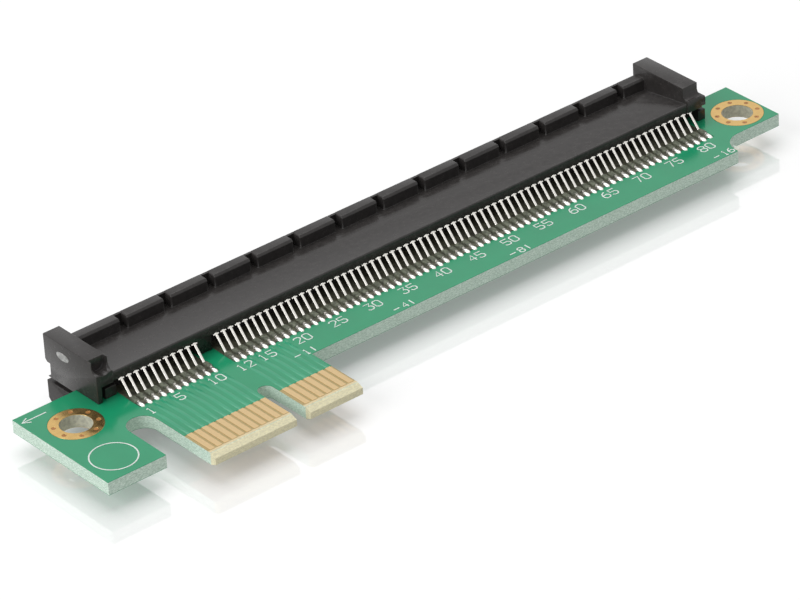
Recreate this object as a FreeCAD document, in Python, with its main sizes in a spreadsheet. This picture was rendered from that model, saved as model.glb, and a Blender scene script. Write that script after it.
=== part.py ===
"""Riser card: an edge-connector board that carries a card slot along its far edge.

Units are millimetres. The card lies flat, component side up, resting on the two ears
of its slot housing. X runs along the slot, +Y points out of the slot's mouth and
+Z is up. The origin is the centre of the card's box, on the surface it rests on.
"""

import FreeCAD, Part
import os

import Sketcher

# Driving dimensions: name, value, meaning.
DIMENSIONS = [
    # Board outline, measured from its far edge and its left edge.
    ("board_thickness", 1.6, "over both solder masks"),
    ("mask_thickness", 0.04, "solder mask, each side"),
    ("copper_thickness", 0.05, "plated copper, each side"),
    ("key_from_left", 23.4, "left edge to the key of the slot and of the tongue"),
    ("board_right_margin", 9.4, "last contact line to the board's right edge"),
    ("long_edge_depth", 12.13, "far edge to the long near edge"),
    ("left_tab_width", 7.74, "tab beside the relief slot"),
    ("left_tab_depth", 17.1, "far edge to the left tab's end"),
    ("right_tab_width", 9.3, "shallow tab at the right end"),
    ("right_tab_depth", 9.07, "far edge to the right tab's end"),
    ("right_tab_round", 2.7, "radius inside the right tab's corner"),
    ("relief_start", 8.8, "far edge to the round end of the relief slot"),
    ("recess_depth", 2.4, "step in the far edge that takes the housing"),
    ("recess_side", 0.35, "step's end beyond the end of the slot"),
    # Edge tongue.
    ("tongue_depth", 20.88, "far edge to the tongue's tip"),
    ("tongue_left_margin", 0.5, "first contact line to the tongue's left side"),
    ("tongue_right_margin", 0.7, "last contact line to the tongue's right side"),
    ("bevel_length", 0.9, "bevel along the board's plane"),
    ("bevel_drop", 0.4, "bevel through the board's thickness"),
    ("key_notch_width", 1.9, "notch between the two finger groups"),
    ("key_notch_length", 7.38, "tip to the notch's round end"),
    ("finger_width", 0.7, "gold finger"),
    ("finger_length", 4.1, "gold finger"),
    ("finger_offset", 0.15, "contact line to the finger's middle"),
    ("finger_tip_gap", 1.28, "finger's end to the tongue's tip"),
    # Contact positions that the tongue and the slot share.
    ("contact_pitch", 1.0, "from one contact to the next"),
    ("key_to_contact", 1.5, "key to the nearest contact line"),
    ("short_count", 11, "contacts on the short side of the key"),
    ("long_count", 71, "contacts on the long side of the slot"),
    ("finger_count", 7, "fingers on the right of the tongue's notch"),
    # Mounting holes with their plated lands.
    ("hole_radius", 1.86, "mounting hole"),
    ("hole_from_far_edge", 5.45, "far edge to the hole's centre"),
    ("left_hole_inset", 4.5, "left edge to the left hole's centre"),
    ("right_hole_inset", 3.25, "right edge to the right hole's centre"),
    ("land_radius", 3.1, "gold land round a hole"),
    ("land_mask_gap", 0.05, "land to the solder mask"),
    # Solder pads, measured from the far edge.
    ("pad_width", 0.66, "solder pad"),
    ("solder_film", 0.05, "solder over the board's face"),
    ("upper_pad_start", 5.0, "near end of an upper pad"),
    ("upper_pad_end", 7.55, "far end of an upper pad"),
    ("lower_pad_start", 3.1, "near end of a lower pad"),
    ("lower_pad_end", 6.2, "far end of a lower pad"),
    ("window_margin", 0.12, "opening of the solder mask round its pads"),
    # Slot housing: overall.
    ("housing_from_key", 14.87, "left end of the housing to the key"),
    ("housing_right_margin", 2.63, "last contact line to the housing's right end"),
    ("connector_overhang", 5.4, "mating face beyond the board's far edge"),
    ("slot_above_board", 0.5, "middle of the slot above the board's top face"),
    ("shelf_depth", 3.9, "near face of the upper wall, from the far edge"),
    ("upper_wall", 2.55, "outside of the upper wall from the slot's middle"),
    ("lower_wall", 2.9, "outside of the lower wall from the slot's middle"),
    ("shelf_under", 1.4, "underside of the shelf from the slot's middle"),
    ("back_face", 2.3, "back of the housing's core, from the far edge"),
    ("wall_edge", 0.12, "rounding of the upper wall's near edge"),
    ("board_gap", 0.05, "board to the housing's faces"),
    # Slot housing: rim with its notches.
    ("rim_height", 3.45, "rim from the slot's middle"),
    ("rim_width", 1.75, "rim along Y"),
    ("rim_bevel", 0.55, "bevel at the mating face"),
    ("rim_chamfer", 0.25, "chamfer at the rim's inner edge"),
    ("notch_count", 13, "notches in the rim"),
    ("notch_pitch", 6.075, "from one notch to the next"),
    ("first_notch", 5.4, "first notch to the left of the key"),
    ("notch_width", 0.9, "notch along X"),
    # Slot housing: ears, feet and end faces.
    ("ear_width", 2.25, "ear along X"),
    ("ear_height", 4.4, "ear from the slot's middle"),
    ("ear_depth", 3.3, "ear's near face from the far edge"),
    ("ear_step", 0.8, "lower part of the ear ahead of its upper part"),
    ("ear_step_height", 2.95, "top of that lower part from the slot's middle"),
    ("ear_fillet", 0.7, "round where the two parts meet"),
    ("ear_chamfer", 0.6, "chamfer below the mating face"),
    ("ledge_width", 0.75, "wall beyond the right ear"),
    ("end_wall", 0.65, "wall at the left end of the tail bay"),
    ("groove_top", 0.9, "groove in the left end face, below the slot's middle"),
    ("groove_height", 0.6, "groove in the left end face"),
    ("groove_cut", 0.8, "groove's depth into the end face"),
    ("foot_width", 1.5, "foot that stands on the board"),
    ("foot_height", 1.3, "foot above the board"),
    ("foot_inset", 1.25, "left foot from the left end face"),
    ("right_foot_width", 1.1, "foot at the right end"),
    ("key_block_width", 1.9, "block between the two groups of tails"),
    # Card slot and contact channels.
    ("slot_height", 1.75, "card slot"),
    ("slot_floor", 1.9, "floor of the slot, from the far edge"),
    ("slot_margin", 0.65, "slot's end beyond the last contact line"),
    ("mouth_depth", 0.85, "open step along the mating face"),
    ("key_bar_width", 1.8, "bar between the two parts of the slot"),
    ("lead_in", 0.35, "chamfer of the slot's edges"),
    ("channel_margin", 0.3, "channel's end beyond the last contact line"),
    ("channel_room", 0.1, "room under a lower contact's foot"),
    # Contacts: bent strips, each with a tail, a beam and a bow.
    ("strip_thickness", 0.2, "contact strip"),
    ("strip_width", 0.4, "contact strip"),
    ("upper_foot_end", 6.75, "end of an upper foot, from the far edge"),
    ("upper_knee", 5.45, "heel of an upper foot, from the far edge"),
    ("tail_exit", 0.05, "bend of an upper tail ahead of the shelf"),
    ("lower_foot_end", 5.6, "end of a lower foot, from the far edge"),
    ("lower_bend", 2.2, "bend of a lower tail, from the far edge"),
    ("bow_setback", 1.8, "bow of the contacts behind the mating face"),
    ("bow_height", 0.6, "bow from the slot's middle, at rest"),
    ("tip_setback", 1.0, "tip of the contacts behind the mating face"),
    ("tip_rise", 0.35, "tip's rise from the bow"),
]

document = FreeCAD.newDocument("riser_card")
sheet = document.addObject("Spreadsheet::Sheet", "sizes")
for row, (alias, value, meaning) in enumerate(DIMENSIONS, start=1):
    sheet.set(f"A{row}", str(value))
    sheet.set(f"B{row}", meaning)
    sheet.setAlias(f"A{row}", alias)
document.recompute()


# Places that several sub-parts share, written as expressions on the driving dimensions.
SHORT_SPAN = "((sizes.short_count - 1) * sizes.contact_pitch)"
LONG_SPAN = "((sizes.long_count - 1) * sizes.contact_pitch)"
FINGER_SPAN = "((sizes.finger_count - 1) * sizes.contact_pitch)"
KEY_TO_LAST = f"(sizes.key_to_contact + {LONG_SPAN})"
BOARD_LENGTH = f"(sizes.key_from_left + {KEY_TO_LAST} + sizes.board_right_margin)"
HOUSING_LENGTH = f"(sizes.housing_from_key + {KEY_TO_LAST} + sizes.housing_right_margin)"
LEFT_EDGE = f"(-{BOARD_LENGTH} / 2)"
FAR_EDGE = "((sizes.tongue_depth - sizes.connector_overhang) / 2)"
KEY_X = f"({LEFT_EDGE} + sizes.key_from_left)"
SLOT_Z = "sizes.ear_height"
BOARD_TOP = f"({SLOT_Z} - sizes.slot_above_board)"
BOARD_BOTTOM = f"({BOARD_TOP} - sizes.board_thickness)"
CORE_TOP = f"({BOARD_TOP} - sizes.mask_thickness)"
CORE_BOTTOM = f"({BOARD_BOTTOM} + sizes.mask_thickness)"
CORE_THICKNESS = "(sizes.board_thickness - 2 * sizes.mask_thickness)"
SHORT_FIRST = f"({KEY_X} - sizes.key_to_contact - {SHORT_SPAN})"
LONG_FIRST = f"({KEY_X} + sizes.key_to_contact)"

# Offsets from the board's left edge or from the key.
TONGUE_LEFT = f"(sizes.key_from_left - sizes.key_to_contact - {SHORT_SPAN} - sizes.tongue_left_margin)"
TONGUE_RIGHT = f"(sizes.key_from_left + sizes.key_to_contact + {FINGER_SPAN} + sizes.tongue_right_margin)"
RELIEF_RADIUS = f"(({TONGUE_LEFT} - sizes.left_tab_width) / 2)"
HOUSING_LEFT = f"({KEY_X} - sizes.housing_from_key)"
RECESS_LEFT = (
    f"(sizes.key_from_left - sizes.key_to_contact - {SHORT_SPAN}"
    " - sizes.slot_margin - sizes.recess_side)"
)
RECESS_RIGHT = f"(sizes.key_from_left + {KEY_TO_LAST} + sizes.slot_margin + sizes.recess_side)"
FINGER_TOP = "(sizes.tongue_depth - sizes.finger_tip_gap - sizes.finger_length)"
TAB_ROUND_X = f"({BOARD_LENGTH} - sizes.right_tab_width + sizes.right_tab_round)"
TAB_ROUND_Y = "-(sizes.right_tab_depth + sizes.right_tab_round)"


SAME_PLACE = 1e-6


def size(expression):
    """Value that an expression on the sheet has now."""
    result = sheet.evalExpression(expression)
    return float(getattr(result, "Value", result))


def origin_feature(body, role):
    """Origin plane or axis of a body, found by its role."""
    for feature in body.Origin.OriginFeatures:
        if feature.Role == role:
            return feature
    raise RuntimeError(f"{body.Name} has no {role}")


def new_body(label, x="0", y=FAR_EDGE, z="0"):
    """Empty body whose own origin lies at the given place."""
    body = document.addObject("PartDesign::Body", label)
    body.Label = label
    body.AllowCompound = True
    for axis, expression in zip("xyz", (x, y, z)):
        body.setExpression(f"Placement.Base.{axis}", expression)
    return body


def new_sketch(body, name, plane="XY_Plane", offset=None):
    """Sketch on one of the body's origin planes, moved along its normal by offset."""
    sketch = body.newObject("Sketcher::SketchObject", name)
    sketch.AttachmentSupport = [(origin_feature(body, plane), "")]
    sketch.MapMode = "FlatFace"
    if offset:
        sketch.setExpression("AttachmentOffset.Base.z", offset)
    return sketch


def bind(sketch, kind, geometry, point, expression):
    """Distance of a point from the sketch's origin, tied to an expression."""
    number = sketch.addConstraint(
        Sketcher.Constraint(kind, -1, 1, geometry, point, size(expression))
    )
    sketch.setExpression(f"Constraints[{number}]", expression)


def draw_polygon(sketch, corners):
    """Closed outline through corners, each a pair of expressions."""
    first = sketch.GeometryCount
    points = [FreeCAD.Vector(size(u), size(v), 0) for u, v in corners]
    count = len(points)
    for index, point in enumerate(points):
        sketch.addGeometry(Part.LineSegment(point, points[(index + 1) % count]))
    for index, (u, v) in enumerate(corners):
        following = first + (index + 1) % count
        sketch.addConstraint(
            Sketcher.Constraint("Coincident", first + index, 2, following, 1)
        )
        bind(sketch, "DistanceX", first + index, 1, u)
        bind(sketch, "DistanceY", first + index, 1, v)


def draw_rectangle(sketch, left, right, low, high):
    """Rectangle between four expressions."""
    draw_polygon(sketch, [(left, low), (right, low), (right, high), (left, high)])


def draw_circle(sketch, u, v, radius):
    """Circle whose centre and radius are expressions."""
    centre = FreeCAD.Vector(size(u), size(v), 0)
    upward = FreeCAD.Vector(0, 0, 1)
    index = sketch.addGeometry(Part.Circle(centre, upward, size(radius)))
    bind(sketch, "DistanceX", index, 3, u)
    bind(sketch, "DistanceY", index, 3, v)
    number = sketch.addConstraint(Sketcher.Constraint("Radius", index, size(radius)))
    sketch.setExpression(f"Constraints[{number}]", radius)


def pad(body, sketch, length, midplane=False):
    """Pad of a sketch along its normal."""
    feature = body.newObject("PartDesign::Pad", f"{sketch.Name}_pad")
    feature.Profile = sketch
    feature.Refine = False
    feature.Midplane = midplane
    feature.setExpression("Length", length)
    sketch.Visibility = False
    return feature


def pocket(body, sketch, length, midplane=False, toward_normal=True):
    """Pocket of a sketch, cut along its normal, against it or to both sides."""
    feature = body.newObject("PartDesign::Pocket", f"{sketch.Name}_cut")
    feature.Profile = sketch
    feature.Refine = False
    feature.Midplane = midplane
    feature.Reversed = toward_normal and not midplane
    feature.setExpression("Length", length)
    sketch.Visibility = False
    return feature


def repeat_along_x(body, originals, count, pitch):
    """Linear pattern along the body's X axis; the last feature in the body."""
    pattern = body.newObject("PartDesign::LinearPattern", f"{originals[0].Name}_row")
    pattern.Originals = originals
    pattern.Direction = (origin_feature(body, "X_Axis"), [""])
    pattern.Refine = False
    pattern.setExpression("Occurrences", count)
    pattern.setExpression("Length", f"({count} - 1) * {pitch}")
    body.Tip = pattern
    return pattern


# Board -------------------------------------------------------------------------------


def board_outline(tongue_end):
    """Corners of the board, from its left far corner, with the tongue cut at tongue_end."""
    key_left = "sizes.key_from_left - sizes.key_notch_width / 2"
    key_right = "sizes.key_from_left + sizes.key_notch_width / 2"
    key_start = "-(sizes.tongue_depth - sizes.key_notch_length + sizes.key_notch_width / 2)"
    relief_start = f"-(sizes.relief_start + {RELIEF_RADIUS})"
    right_tab = f"{BOARD_LENGTH} - sizes.right_tab_width"
    return [
        ("0", "0"),
        (RECESS_LEFT, "0"),
        (RECESS_LEFT, "-sizes.recess_depth"),
        (RECESS_RIGHT, "-sizes.recess_depth"),
        (RECESS_RIGHT, "0"),
        (BOARD_LENGTH, "0"),
        (BOARD_LENGTH, "-sizes.right_tab_depth"),
        (TAB_ROUND_X, "-sizes.right_tab_depth"),
        (TAB_ROUND_X, TAB_ROUND_Y),
        (right_tab, TAB_ROUND_Y),
        (right_tab, "-sizes.long_edge_depth"),
        (TONGUE_RIGHT, "-sizes.long_edge_depth"),
        (TONGUE_RIGHT, f"-{tongue_end}"),
        (key_right, f"-{tongue_end}"),
        (key_right, key_start),
        (key_left, key_start),
        (key_left, f"-{tongue_end}"),
        (TONGUE_LEFT, f"-{tongue_end}"),
        (TONGUE_LEFT, relief_start),
        ("sizes.left_tab_width", relief_start),
        ("sizes.left_tab_width", "-sizes.left_tab_depth"),
        ("0", "-sizes.left_tab_depth"),
    ]


HOLE_LEFT = "sizes.left_hole_inset"
HOLE_RIGHT = f"({BOARD_LENGTH} - sizes.right_hole_inset)"


def cut_round_ends(body, thickness, hole_radius):
    """Round ends of the slots, the right tab's round corner and the two mounting holes."""
    sketch = new_sketch(body, f"{body.Name}_rounds")
    notch_end = "-(sizes.tongue_depth - sizes.key_notch_length + sizes.key_notch_width / 2)"
    relief_middle = f"sizes.left_tab_width + {RELIEF_RADIUS}"
    relief_end = f"-(sizes.relief_start + {RELIEF_RADIUS})"
    draw_circle(sketch, relief_middle, relief_end, RELIEF_RADIUS)
    draw_circle(sketch, "sizes.key_from_left", notch_end, "sizes.key_notch_width / 2")
    draw_circle(sketch, TAB_ROUND_X, TAB_ROUND_Y, "sizes.right_tab_round")
    draw_circle(sketch, HOLE_LEFT, "-sizes.hole_from_far_edge", hole_radius)
    draw_circle(sketch, HOLE_RIGHT, "-sizes.hole_from_far_edge", hole_radius)
    return pocket(body, sketch, thickness)


def make_board_core():
    """Fibreglass core with its outline, mounting holes and bevelled tongue."""
    body = new_body("board_core", LEFT_EDGE, FAR_EDGE, CORE_BOTTOM)
    outline = new_sketch(body, "core_outline")
    draw_polygon(outline, board_outline("sizes.tongue_depth"))
    pad(body, outline, CORE_THICKNESS)
    cut_round_ends(body, CORE_THICKNESS, "sizes.hole_radius")
    bevel = new_sketch(body, "tongue_bevel", "YZ_Plane")
    tip = "-sizes.tongue_depth"
    start = "-(sizes.tongue_depth - sizes.bevel_length)"
    lower = "sizes.bevel_drop - sizes.mask_thickness"
    upper = f"{CORE_THICKNESS} - ({lower})"
    draw_polygon(bevel, [(start, "0"), (tip, lower), (tip, "0")])
    draw_polygon(bevel, [(start, CORE_THICKNESS), (tip, upper), (tip, CORE_THICKNESS)])
    body.Tip = pocket(body, bevel, BOARD_LENGTH)
    return body


def draw_pad_window(sketch, first, span, start, end):
    """Opening in the mask round one group of pads."""
    side = "(sizes.pad_width / 2 + sizes.window_margin)"
    draw_rectangle(
        sketch,
        f"{first} - {side}",
        f"{first} + {span} + {side}",
        f"-({end} + sizes.window_margin)",
        f"-({start} - sizes.window_margin)",
    )


def make_solder_mask(label, z, pad_start, pad_end):
    """One solder mask: it stops at the fingers and leaves the pads and lands bare."""
    body = new_body(label, LEFT_EDGE, FAR_EDGE, z)
    outline = new_sketch(body, f"{label}_outline")
    draw_polygon(outline, board_outline(FINGER_TOP))
    pad(body, outline, "sizes.mask_thickness")
    cut_round_ends(body, "sizes.mask_thickness", "sizes.land_radius + sizes.land_mask_gap")
    windows = new_sketch(body, f"{label}_windows")
    short_first = f"({SHORT_FIRST} - {LEFT_EDGE})"
    long_first = f"({LONG_FIRST} - {LEFT_EDGE})"
    draw_pad_window(windows, short_first, SHORT_SPAN, pad_start, pad_end)
    draw_pad_window(windows, long_first, LONG_SPAN, pad_start, pad_end)
    body.Tip = pocket(body, windows, "sizes.mask_thickness")
    return body


def make_edge_fingers(label, first, count, z):
    """One group of gold fingers on the tongue."""
    body = new_body(label, first, FAR_EDGE, z)
    sketch = new_sketch(body, f"{label}_outline")
    tip = "-(sizes.tongue_depth - sizes.finger_tip_gap)"
    half = "sizes.finger_width / 2"
    left = f"sizes.finger_offset - {half}"
    right = f"sizes.finger_offset + {half}"
    draw_rectangle(sketch, left, right, tip, f"-{FINGER_TOP}")
    finger = pad(body, sketch, "sizes.copper_thickness")
    repeat_along_x(body, [finger], count, "sizes.contact_pitch")
    return body


def make_hole_land(label, hole, z):
    """Gold land round a mounting hole."""
    body = new_body(label, LEFT_EDGE, FAR_EDGE, z)
    ring = new_sketch(body, f"{label}_ring")
    draw_circle(ring, hole, "-sizes.hole_from_far_edge", "sizes.land_radius")
    draw_circle(ring, hole, "-sizes.hole_from_far_edge", "sizes.hole_radius")
    pad(body, ring, "sizes.copper_thickness")
    return body


# Soldered pads -----------------------------------------------------------------------


def make_pads(label, first, count, profile):
    """One group of soldered pads, from the YZ profile of one pad."""
    body = new_body(label, first, FAR_EDGE, "0")
    sketch = new_sketch(body, f"{label}_profile", "YZ_Plane")
    draw_polygon(sketch, profile)
    one = pad(body, sketch, "sizes.pad_width", midplane=True)
    repeat_along_x(body, [one], count, "sizes.contact_pitch")
    return body


def upper_pad_profile():
    """Flat film under the foot, then a toe that rises to the foot's top."""
    film = f"{BOARD_TOP} + sizes.solder_film"
    toe = f"{BOARD_TOP} + sizes.solder_film + sizes.strip_thickness"
    foot_end = "-sizes.upper_foot_end"
    return [
        ("-sizes.upper_pad_end", CORE_TOP),
        (foot_end, toe),
        (foot_end, film),
        ("-sizes.upper_pad_start", film),
        ("-sizes.upper_pad_start", CORE_TOP),
    ]


def lower_pad_profile():
    """Flat film on the board's underside."""
    film = f"{BOARD_BOTTOM} - sizes.solder_film"
    return [
        ("-sizes.lower_pad_end", film),
        ("-sizes.lower_pad_start", film),
        ("-sizes.lower_pad_start", CORE_BOTTOM),
        ("-sizes.lower_pad_end", CORE_BOTTOM),
    ]


# Contacts ----------------------------------------------------------------------------


def strip_profile(low, high):
    """Outline of a bent strip: its lower line out, its upper line back."""
    return low + list(reversed(high))


def raised(points, height):
    """The same line, raised by an expression."""
    return [(y, f"{z} + {height}") for y, z in points]


def upper_contact_line():
    """Underside of an upper contact, from the end of its foot to its bow."""
    foot = f"{BOARD_TOP} + sizes.solder_film"
    exit_z = f"{SLOT_Z} + sizes.shelf_under - sizes.board_gap - sizes.strip_thickness"
    bow = f"{SLOT_Z} + sizes.bow_height - sizes.strip_thickness / 2"
    return [
        ("-sizes.upper_foot_end", foot),
        ("-sizes.upper_knee", foot),
        ("-(sizes.shelf_depth + sizes.tail_exit)", exit_z),
        ("sizes.connector_overhang - sizes.tip_setback", bow),
    ]


def lower_contact_line():
    """Underside of a lower contact, from its foot over its bow to its tip."""
    foot = f"{BOARD_BOTTOM} - sizes.solder_film - sizes.strip_thickness"
    bow = f"{SLOT_Z} - sizes.bow_height - sizes.strip_thickness / 2"
    return [
        ("-sizes.lower_foot_end", foot),
        ("-sizes.lower_bend", foot),
        ("sizes.connector_overhang - sizes.bow_setback", bow),
        ("sizes.connector_overhang - sizes.tip_setback", f"{bow} - sizes.tip_rise"),
    ]


def make_contacts(label, first, count, line):
    """One row of contacts, from the underside of one of them."""
    body = new_body(label, first, FAR_EDGE, "0")
    sketch = new_sketch(body, f"{label}_profile", "YZ_Plane")
    draw_polygon(sketch, strip_profile(line, raised(line, "sizes.strip_thickness")))
    one = pad(body, sketch, "sizes.strip_width", midplane=True)
    repeat_along_x(body, [one], count, "sizes.contact_pitch")
    return body


# Slot housing ------------------------------------------------------------------------


def housing_section():
    """Section of the housing between its ears, in Y from the far edge and in Z."""
    front = "sizes.connector_overhang"
    rim_inside = "(sizes.connector_overhang - sizes.rim_width)"
    top = f"{SLOT_Z} + sizes.rim_height"
    bottom = f"{SLOT_Z} - sizes.rim_height"
    wall = f"{SLOT_Z} + sizes.upper_wall"
    floor = f"{SLOT_Z} - sizes.lower_wall"
    return [
        ("-sizes.back_face", floor),
        (rim_inside, floor),
        (rim_inside, bottom),
        (f"{front} - sizes.rim_bevel", bottom),
        (front, f"{bottom} + sizes.rim_bevel"),
        (front, f"{top} - sizes.rim_bevel"),
        (f"{front} - sizes.rim_bevel", top),
        (f"{rim_inside} + sizes.rim_chamfer", top),
        (rim_inside, f"{top} - sizes.rim_chamfer"),
        (rim_inside, wall),
        ("-(sizes.shelf_depth - sizes.wall_edge)", wall),
        ("-sizes.shelf_depth", f"{wall} - sizes.wall_edge"),
        ("-sizes.shelf_depth", f"{SLOT_Z} + sizes.shelf_under"),
        ("-sizes.back_face", f"{SLOT_Z} + sizes.shelf_under"),
    ]


def ear_section():
    """Side view of an ear, which stands proud of the section above and below."""
    front = "sizes.connector_overhang"
    step = "-(sizes.ear_depth + sizes.ear_step)"
    step_top = f"{SLOT_Z} + sizes.ear_step_height"
    middle = f"({BOARD_TOP} - sizes.board_thickness / 2)"
    return [
        (front, f"{SLOT_Z} + sizes.ear_height"),
        ("-sizes.ear_depth", f"{SLOT_Z} + sizes.ear_height"),
        ("-sizes.ear_depth", step_top),
        (step, step_top),
        (step, middle),
        ("-sizes.ear_depth", middle),
        ("-sizes.ear_depth", f"{SLOT_Z} - sizes.ear_height"),
        (f"{front} - sizes.ear_chamfer", f"{SLOT_Z} - sizes.ear_height"),
        (front, f"{SLOT_Z} - sizes.ear_height + sizes.ear_chamfer"),
    ]


RIGHT_EAR = f"({HOUSING_LENGTH} - sizes.ledge_width - sizes.ear_width)"
EAR_REACH = "(-(sizes.ear_depth + 2 * sizes.ear_step))"
KEY_IN_HOUSING = "sizes.housing_from_key"


def add_ears(body):
    """The two ears, with a round where each one steps; a ledge stays beyond the right one."""
    for name, start in (("left_ear", "0"), ("right_ear", RIGHT_EAR)):
        sketch = new_sketch(body, name, "YZ_Plane", start)
        draw_polygon(sketch, ear_section())
        ears = pad(body, sketch, "sizes.ear_width")
    document.recompute()
    y = -size("sizes.ear_depth")
    z = size(f"{SLOT_Z} + sizes.ear_step_height")
    steps = []
    for number, edge in enumerate(ears.Shape.Edges, start=1):
        middle = edge.CenterOfMass
        if abs(middle.y - y) < SAME_PLACE and abs(middle.z - z) < SAME_PLACE:
            steps.append(f"Edge{number}")
    rounds = body.newObject("PartDesign::Fillet", "ear_rounds")
    rounds.Base = (ears, steps)
    rounds.setExpression("Radius", "sizes.ear_fillet")


def cut_board_slots(body):
    """Room for the board: in front of the core all along, and beside it in both ends."""
    low = f"{BOARD_BOTTOM} - sizes.board_gap"
    high = f"{BOARD_TOP} + sizes.board_gap"
    front = new_sketch(body, "board_bay", "YZ_Plane")
    draw_rectangle(front, EAR_REACH, "-sizes.back_face", f"{low} - sizes.solder_film", high)
    pocket(body, front, HOUSING_LENGTH)
    to_housing = "(sizes.housing_from_key - sizes.key_from_left)"
    left_end = f"({RECESS_LEFT} + {to_housing} + sizes.board_gap)"
    right_start = f"({RECESS_RIGHT} + {to_housing} - sizes.board_gap)"
    left = new_sketch(body, "left_board_slot", "YZ_Plane")
    draw_rectangle(left, EAR_REACH, "sizes.board_gap", low, high)
    pocket(body, left, left_end)
    right = new_sketch(body, "right_board_slot", "YZ_Plane", right_start)
    draw_rectangle(right, EAR_REACH, "sizes.board_gap", low, high)
    pocket(body, right, f"{HOUSING_LENGTH} - {right_start}")


def cut_tail_bay(body):
    """Open bay under the shelf, from the left end wall to the right end."""
    bay = new_sketch(body, "tail_bay", "YZ_Plane", "sizes.end_wall")
    draw_rectangle(
        bay,
        EAR_REACH,
        "-sizes.back_face",
        f"{BOARD_TOP} + sizes.board_gap",
        f"{SLOT_Z} + sizes.shelf_under",
    )
    pocket(body, bay, HOUSING_LENGTH)


def add_feet(body):
    """Feet beside the first and the last tail, and the key's block between both groups."""
    foot_top = f"{BOARD_TOP} + sizes.foot_height"
    block_start = f"{KEY_IN_HOUSING} - sizes.key_block_width / 2"
    right_start = f"{HOUSING_LENGTH} - sizes.right_foot_width"
    places = (
        ("left_foot", "sizes.foot_inset", "sizes.foot_width", foot_top),
        ("right_foot", right_start, "sizes.right_foot_width", foot_top),
        ("key_block", block_start, "sizes.key_block_width", f"{SLOT_Z} + sizes.shelf_under"),
    )
    for name, start, width, top in places:
        sketch = new_sketch(body, name, "YZ_Plane", start)
        draw_rectangle(
            sketch,
            "-(sizes.shelf_depth - sizes.wall_edge)",
            "-sizes.back_face",
            f"{BOARD_TOP} + sizes.board_gap",
            top,
        )
        pad(body, sketch, width)


def cut_rim_notches(body):
    """Notches that divide both rims into blocks, down to the wall."""
    sketch = new_sketch(
        body, "rim_notch", "YZ_Plane", f"{KEY_IN_HOUSING} - sizes.first_notch"
    )
    inside = "sizes.connector_overhang - sizes.rim_width"
    outside = "sizes.connector_overhang + sizes.rim_chamfer"
    upper = f"{SLOT_Z} + sizes.upper_wall"
    above = f"{SLOT_Z} + sizes.rim_height + sizes.rim_chamfer"
    lower = f"{SLOT_Z} - sizes.lower_wall"
    below = f"{SLOT_Z} - sizes.rim_height - sizes.rim_chamfer"
    draw_rectangle(sketch, inside, outside, upper, above)
    draw_rectangle(sketch, inside, outside, below, lower)
    notch = pocket(body, sketch, "sizes.notch_width", midplane=True)
    repeat_along_x(body, [notch], "sizes.notch_count", "sizes.notch_pitch")


SHORT_IN_HOUSING = f"({KEY_IN_HOUSING} - sizes.key_to_contact - {SHORT_SPAN})"
LONG_IN_HOUSING = f"({KEY_IN_HOUSING} + sizes.key_to_contact)"


def cut_card_slot(body):
    """Slot for the mating card, split by the key bar, and the step along its mouth."""
    half = "sizes.slot_height / 2"
    mouth = new_sketch(body, "slot_mouth", "YZ_Plane")
    mouth_back = "(sizes.connector_overhang - sizes.mouth_depth)"
    draw_rectangle(
        mouth,
        mouth_back,
        "sizes.connector_overhang + sizes.mouth_depth",
        f"{SLOT_Z} - {half}",
        f"{SLOT_Z} + {half}",
    )
    pocket(body, mouth, HOUSING_LENGTH)
    bars = (
        ("short_slot", f"{SHORT_IN_HOUSING} - sizes.slot_margin",
         f"{KEY_IN_HOUSING} - sizes.key_bar_width / 2"),
        ("long_slot", f"{KEY_IN_HOUSING} + sizes.key_bar_width / 2",
         f"{LONG_IN_HOUSING} + {LONG_SPAN} + sizes.slot_margin"),
    )
    for name, left, right in bars:
        sketch = new_sketch(body, name, "YZ_Plane", left)
        draw_rectangle(
            sketch,
            "-sizes.slot_floor",
            mouth_back,
            f"{SLOT_Z} - {half}",
            f"{SLOT_Z} + {half}",
        )
        pocket(body, sketch, f"({right}) - ({left})")
    lead_in = new_sketch(body, "slot_lead_in", "YZ_Plane")
    for sign in ("+", "-"):
        wall = f"{SLOT_Z} {sign} {half}"
        draw_polygon(lead_in, [
            ("sizes.connector_overhang - sizes.lead_in", wall),
            ("sizes.connector_overhang", wall),
            ("sizes.connector_overhang", f"{wall} {sign} sizes.lead_in"),
        ])
    pocket(body, lead_in, HOUSING_LENGTH)


def cut_contact_channels(body):
    """Channels behind both walls of the slot, which hold its two rows of contacts."""
    front = "sizes.connector_overhang - sizes.mouth_depth"
    upper_roof = f"{SLOT_Z} + sizes.shelf_under"
    lower_floor = (
        f"{BOARD_BOTTOM} - sizes.solder_film - sizes.strip_thickness - sizes.channel_room"
    )
    groups = (
        ("short", SHORT_IN_HOUSING, SHORT_SPAN),
        ("long", LONG_IN_HOUSING, LONG_SPAN),
    )
    for name, first, span in groups:
        sketch = new_sketch(
            body, f"{name}_channels", "YZ_Plane", f"{first} - sizes.channel_margin"
        )
        draw_rectangle(
            sketch, "-sizes.back_face", front, f"{SLOT_Z} + sizes.slot_height / 2", upper_roof
        )
        draw_rectangle(
            sketch, EAR_REACH, front, lower_floor, f"{SLOT_Z} - sizes.slot_height / 2"
        )
        pocket(body, sketch, f"{span} + 2 * sizes.channel_margin")


def cut_end_groove(body):
    """Groove along the left end face, in front of the board's slot."""
    sketch = new_sketch(body, "end_groove", "YZ_Plane")
    top = f"{SLOT_Z} - sizes.groove_top"
    draw_rectangle(
        sketch, "0", "sizes.connector_overhang + sizes.rim_chamfer",
        f"{top} - sizes.groove_height", top,
    )
    pocket(body, sketch, "sizes.groove_cut")


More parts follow.
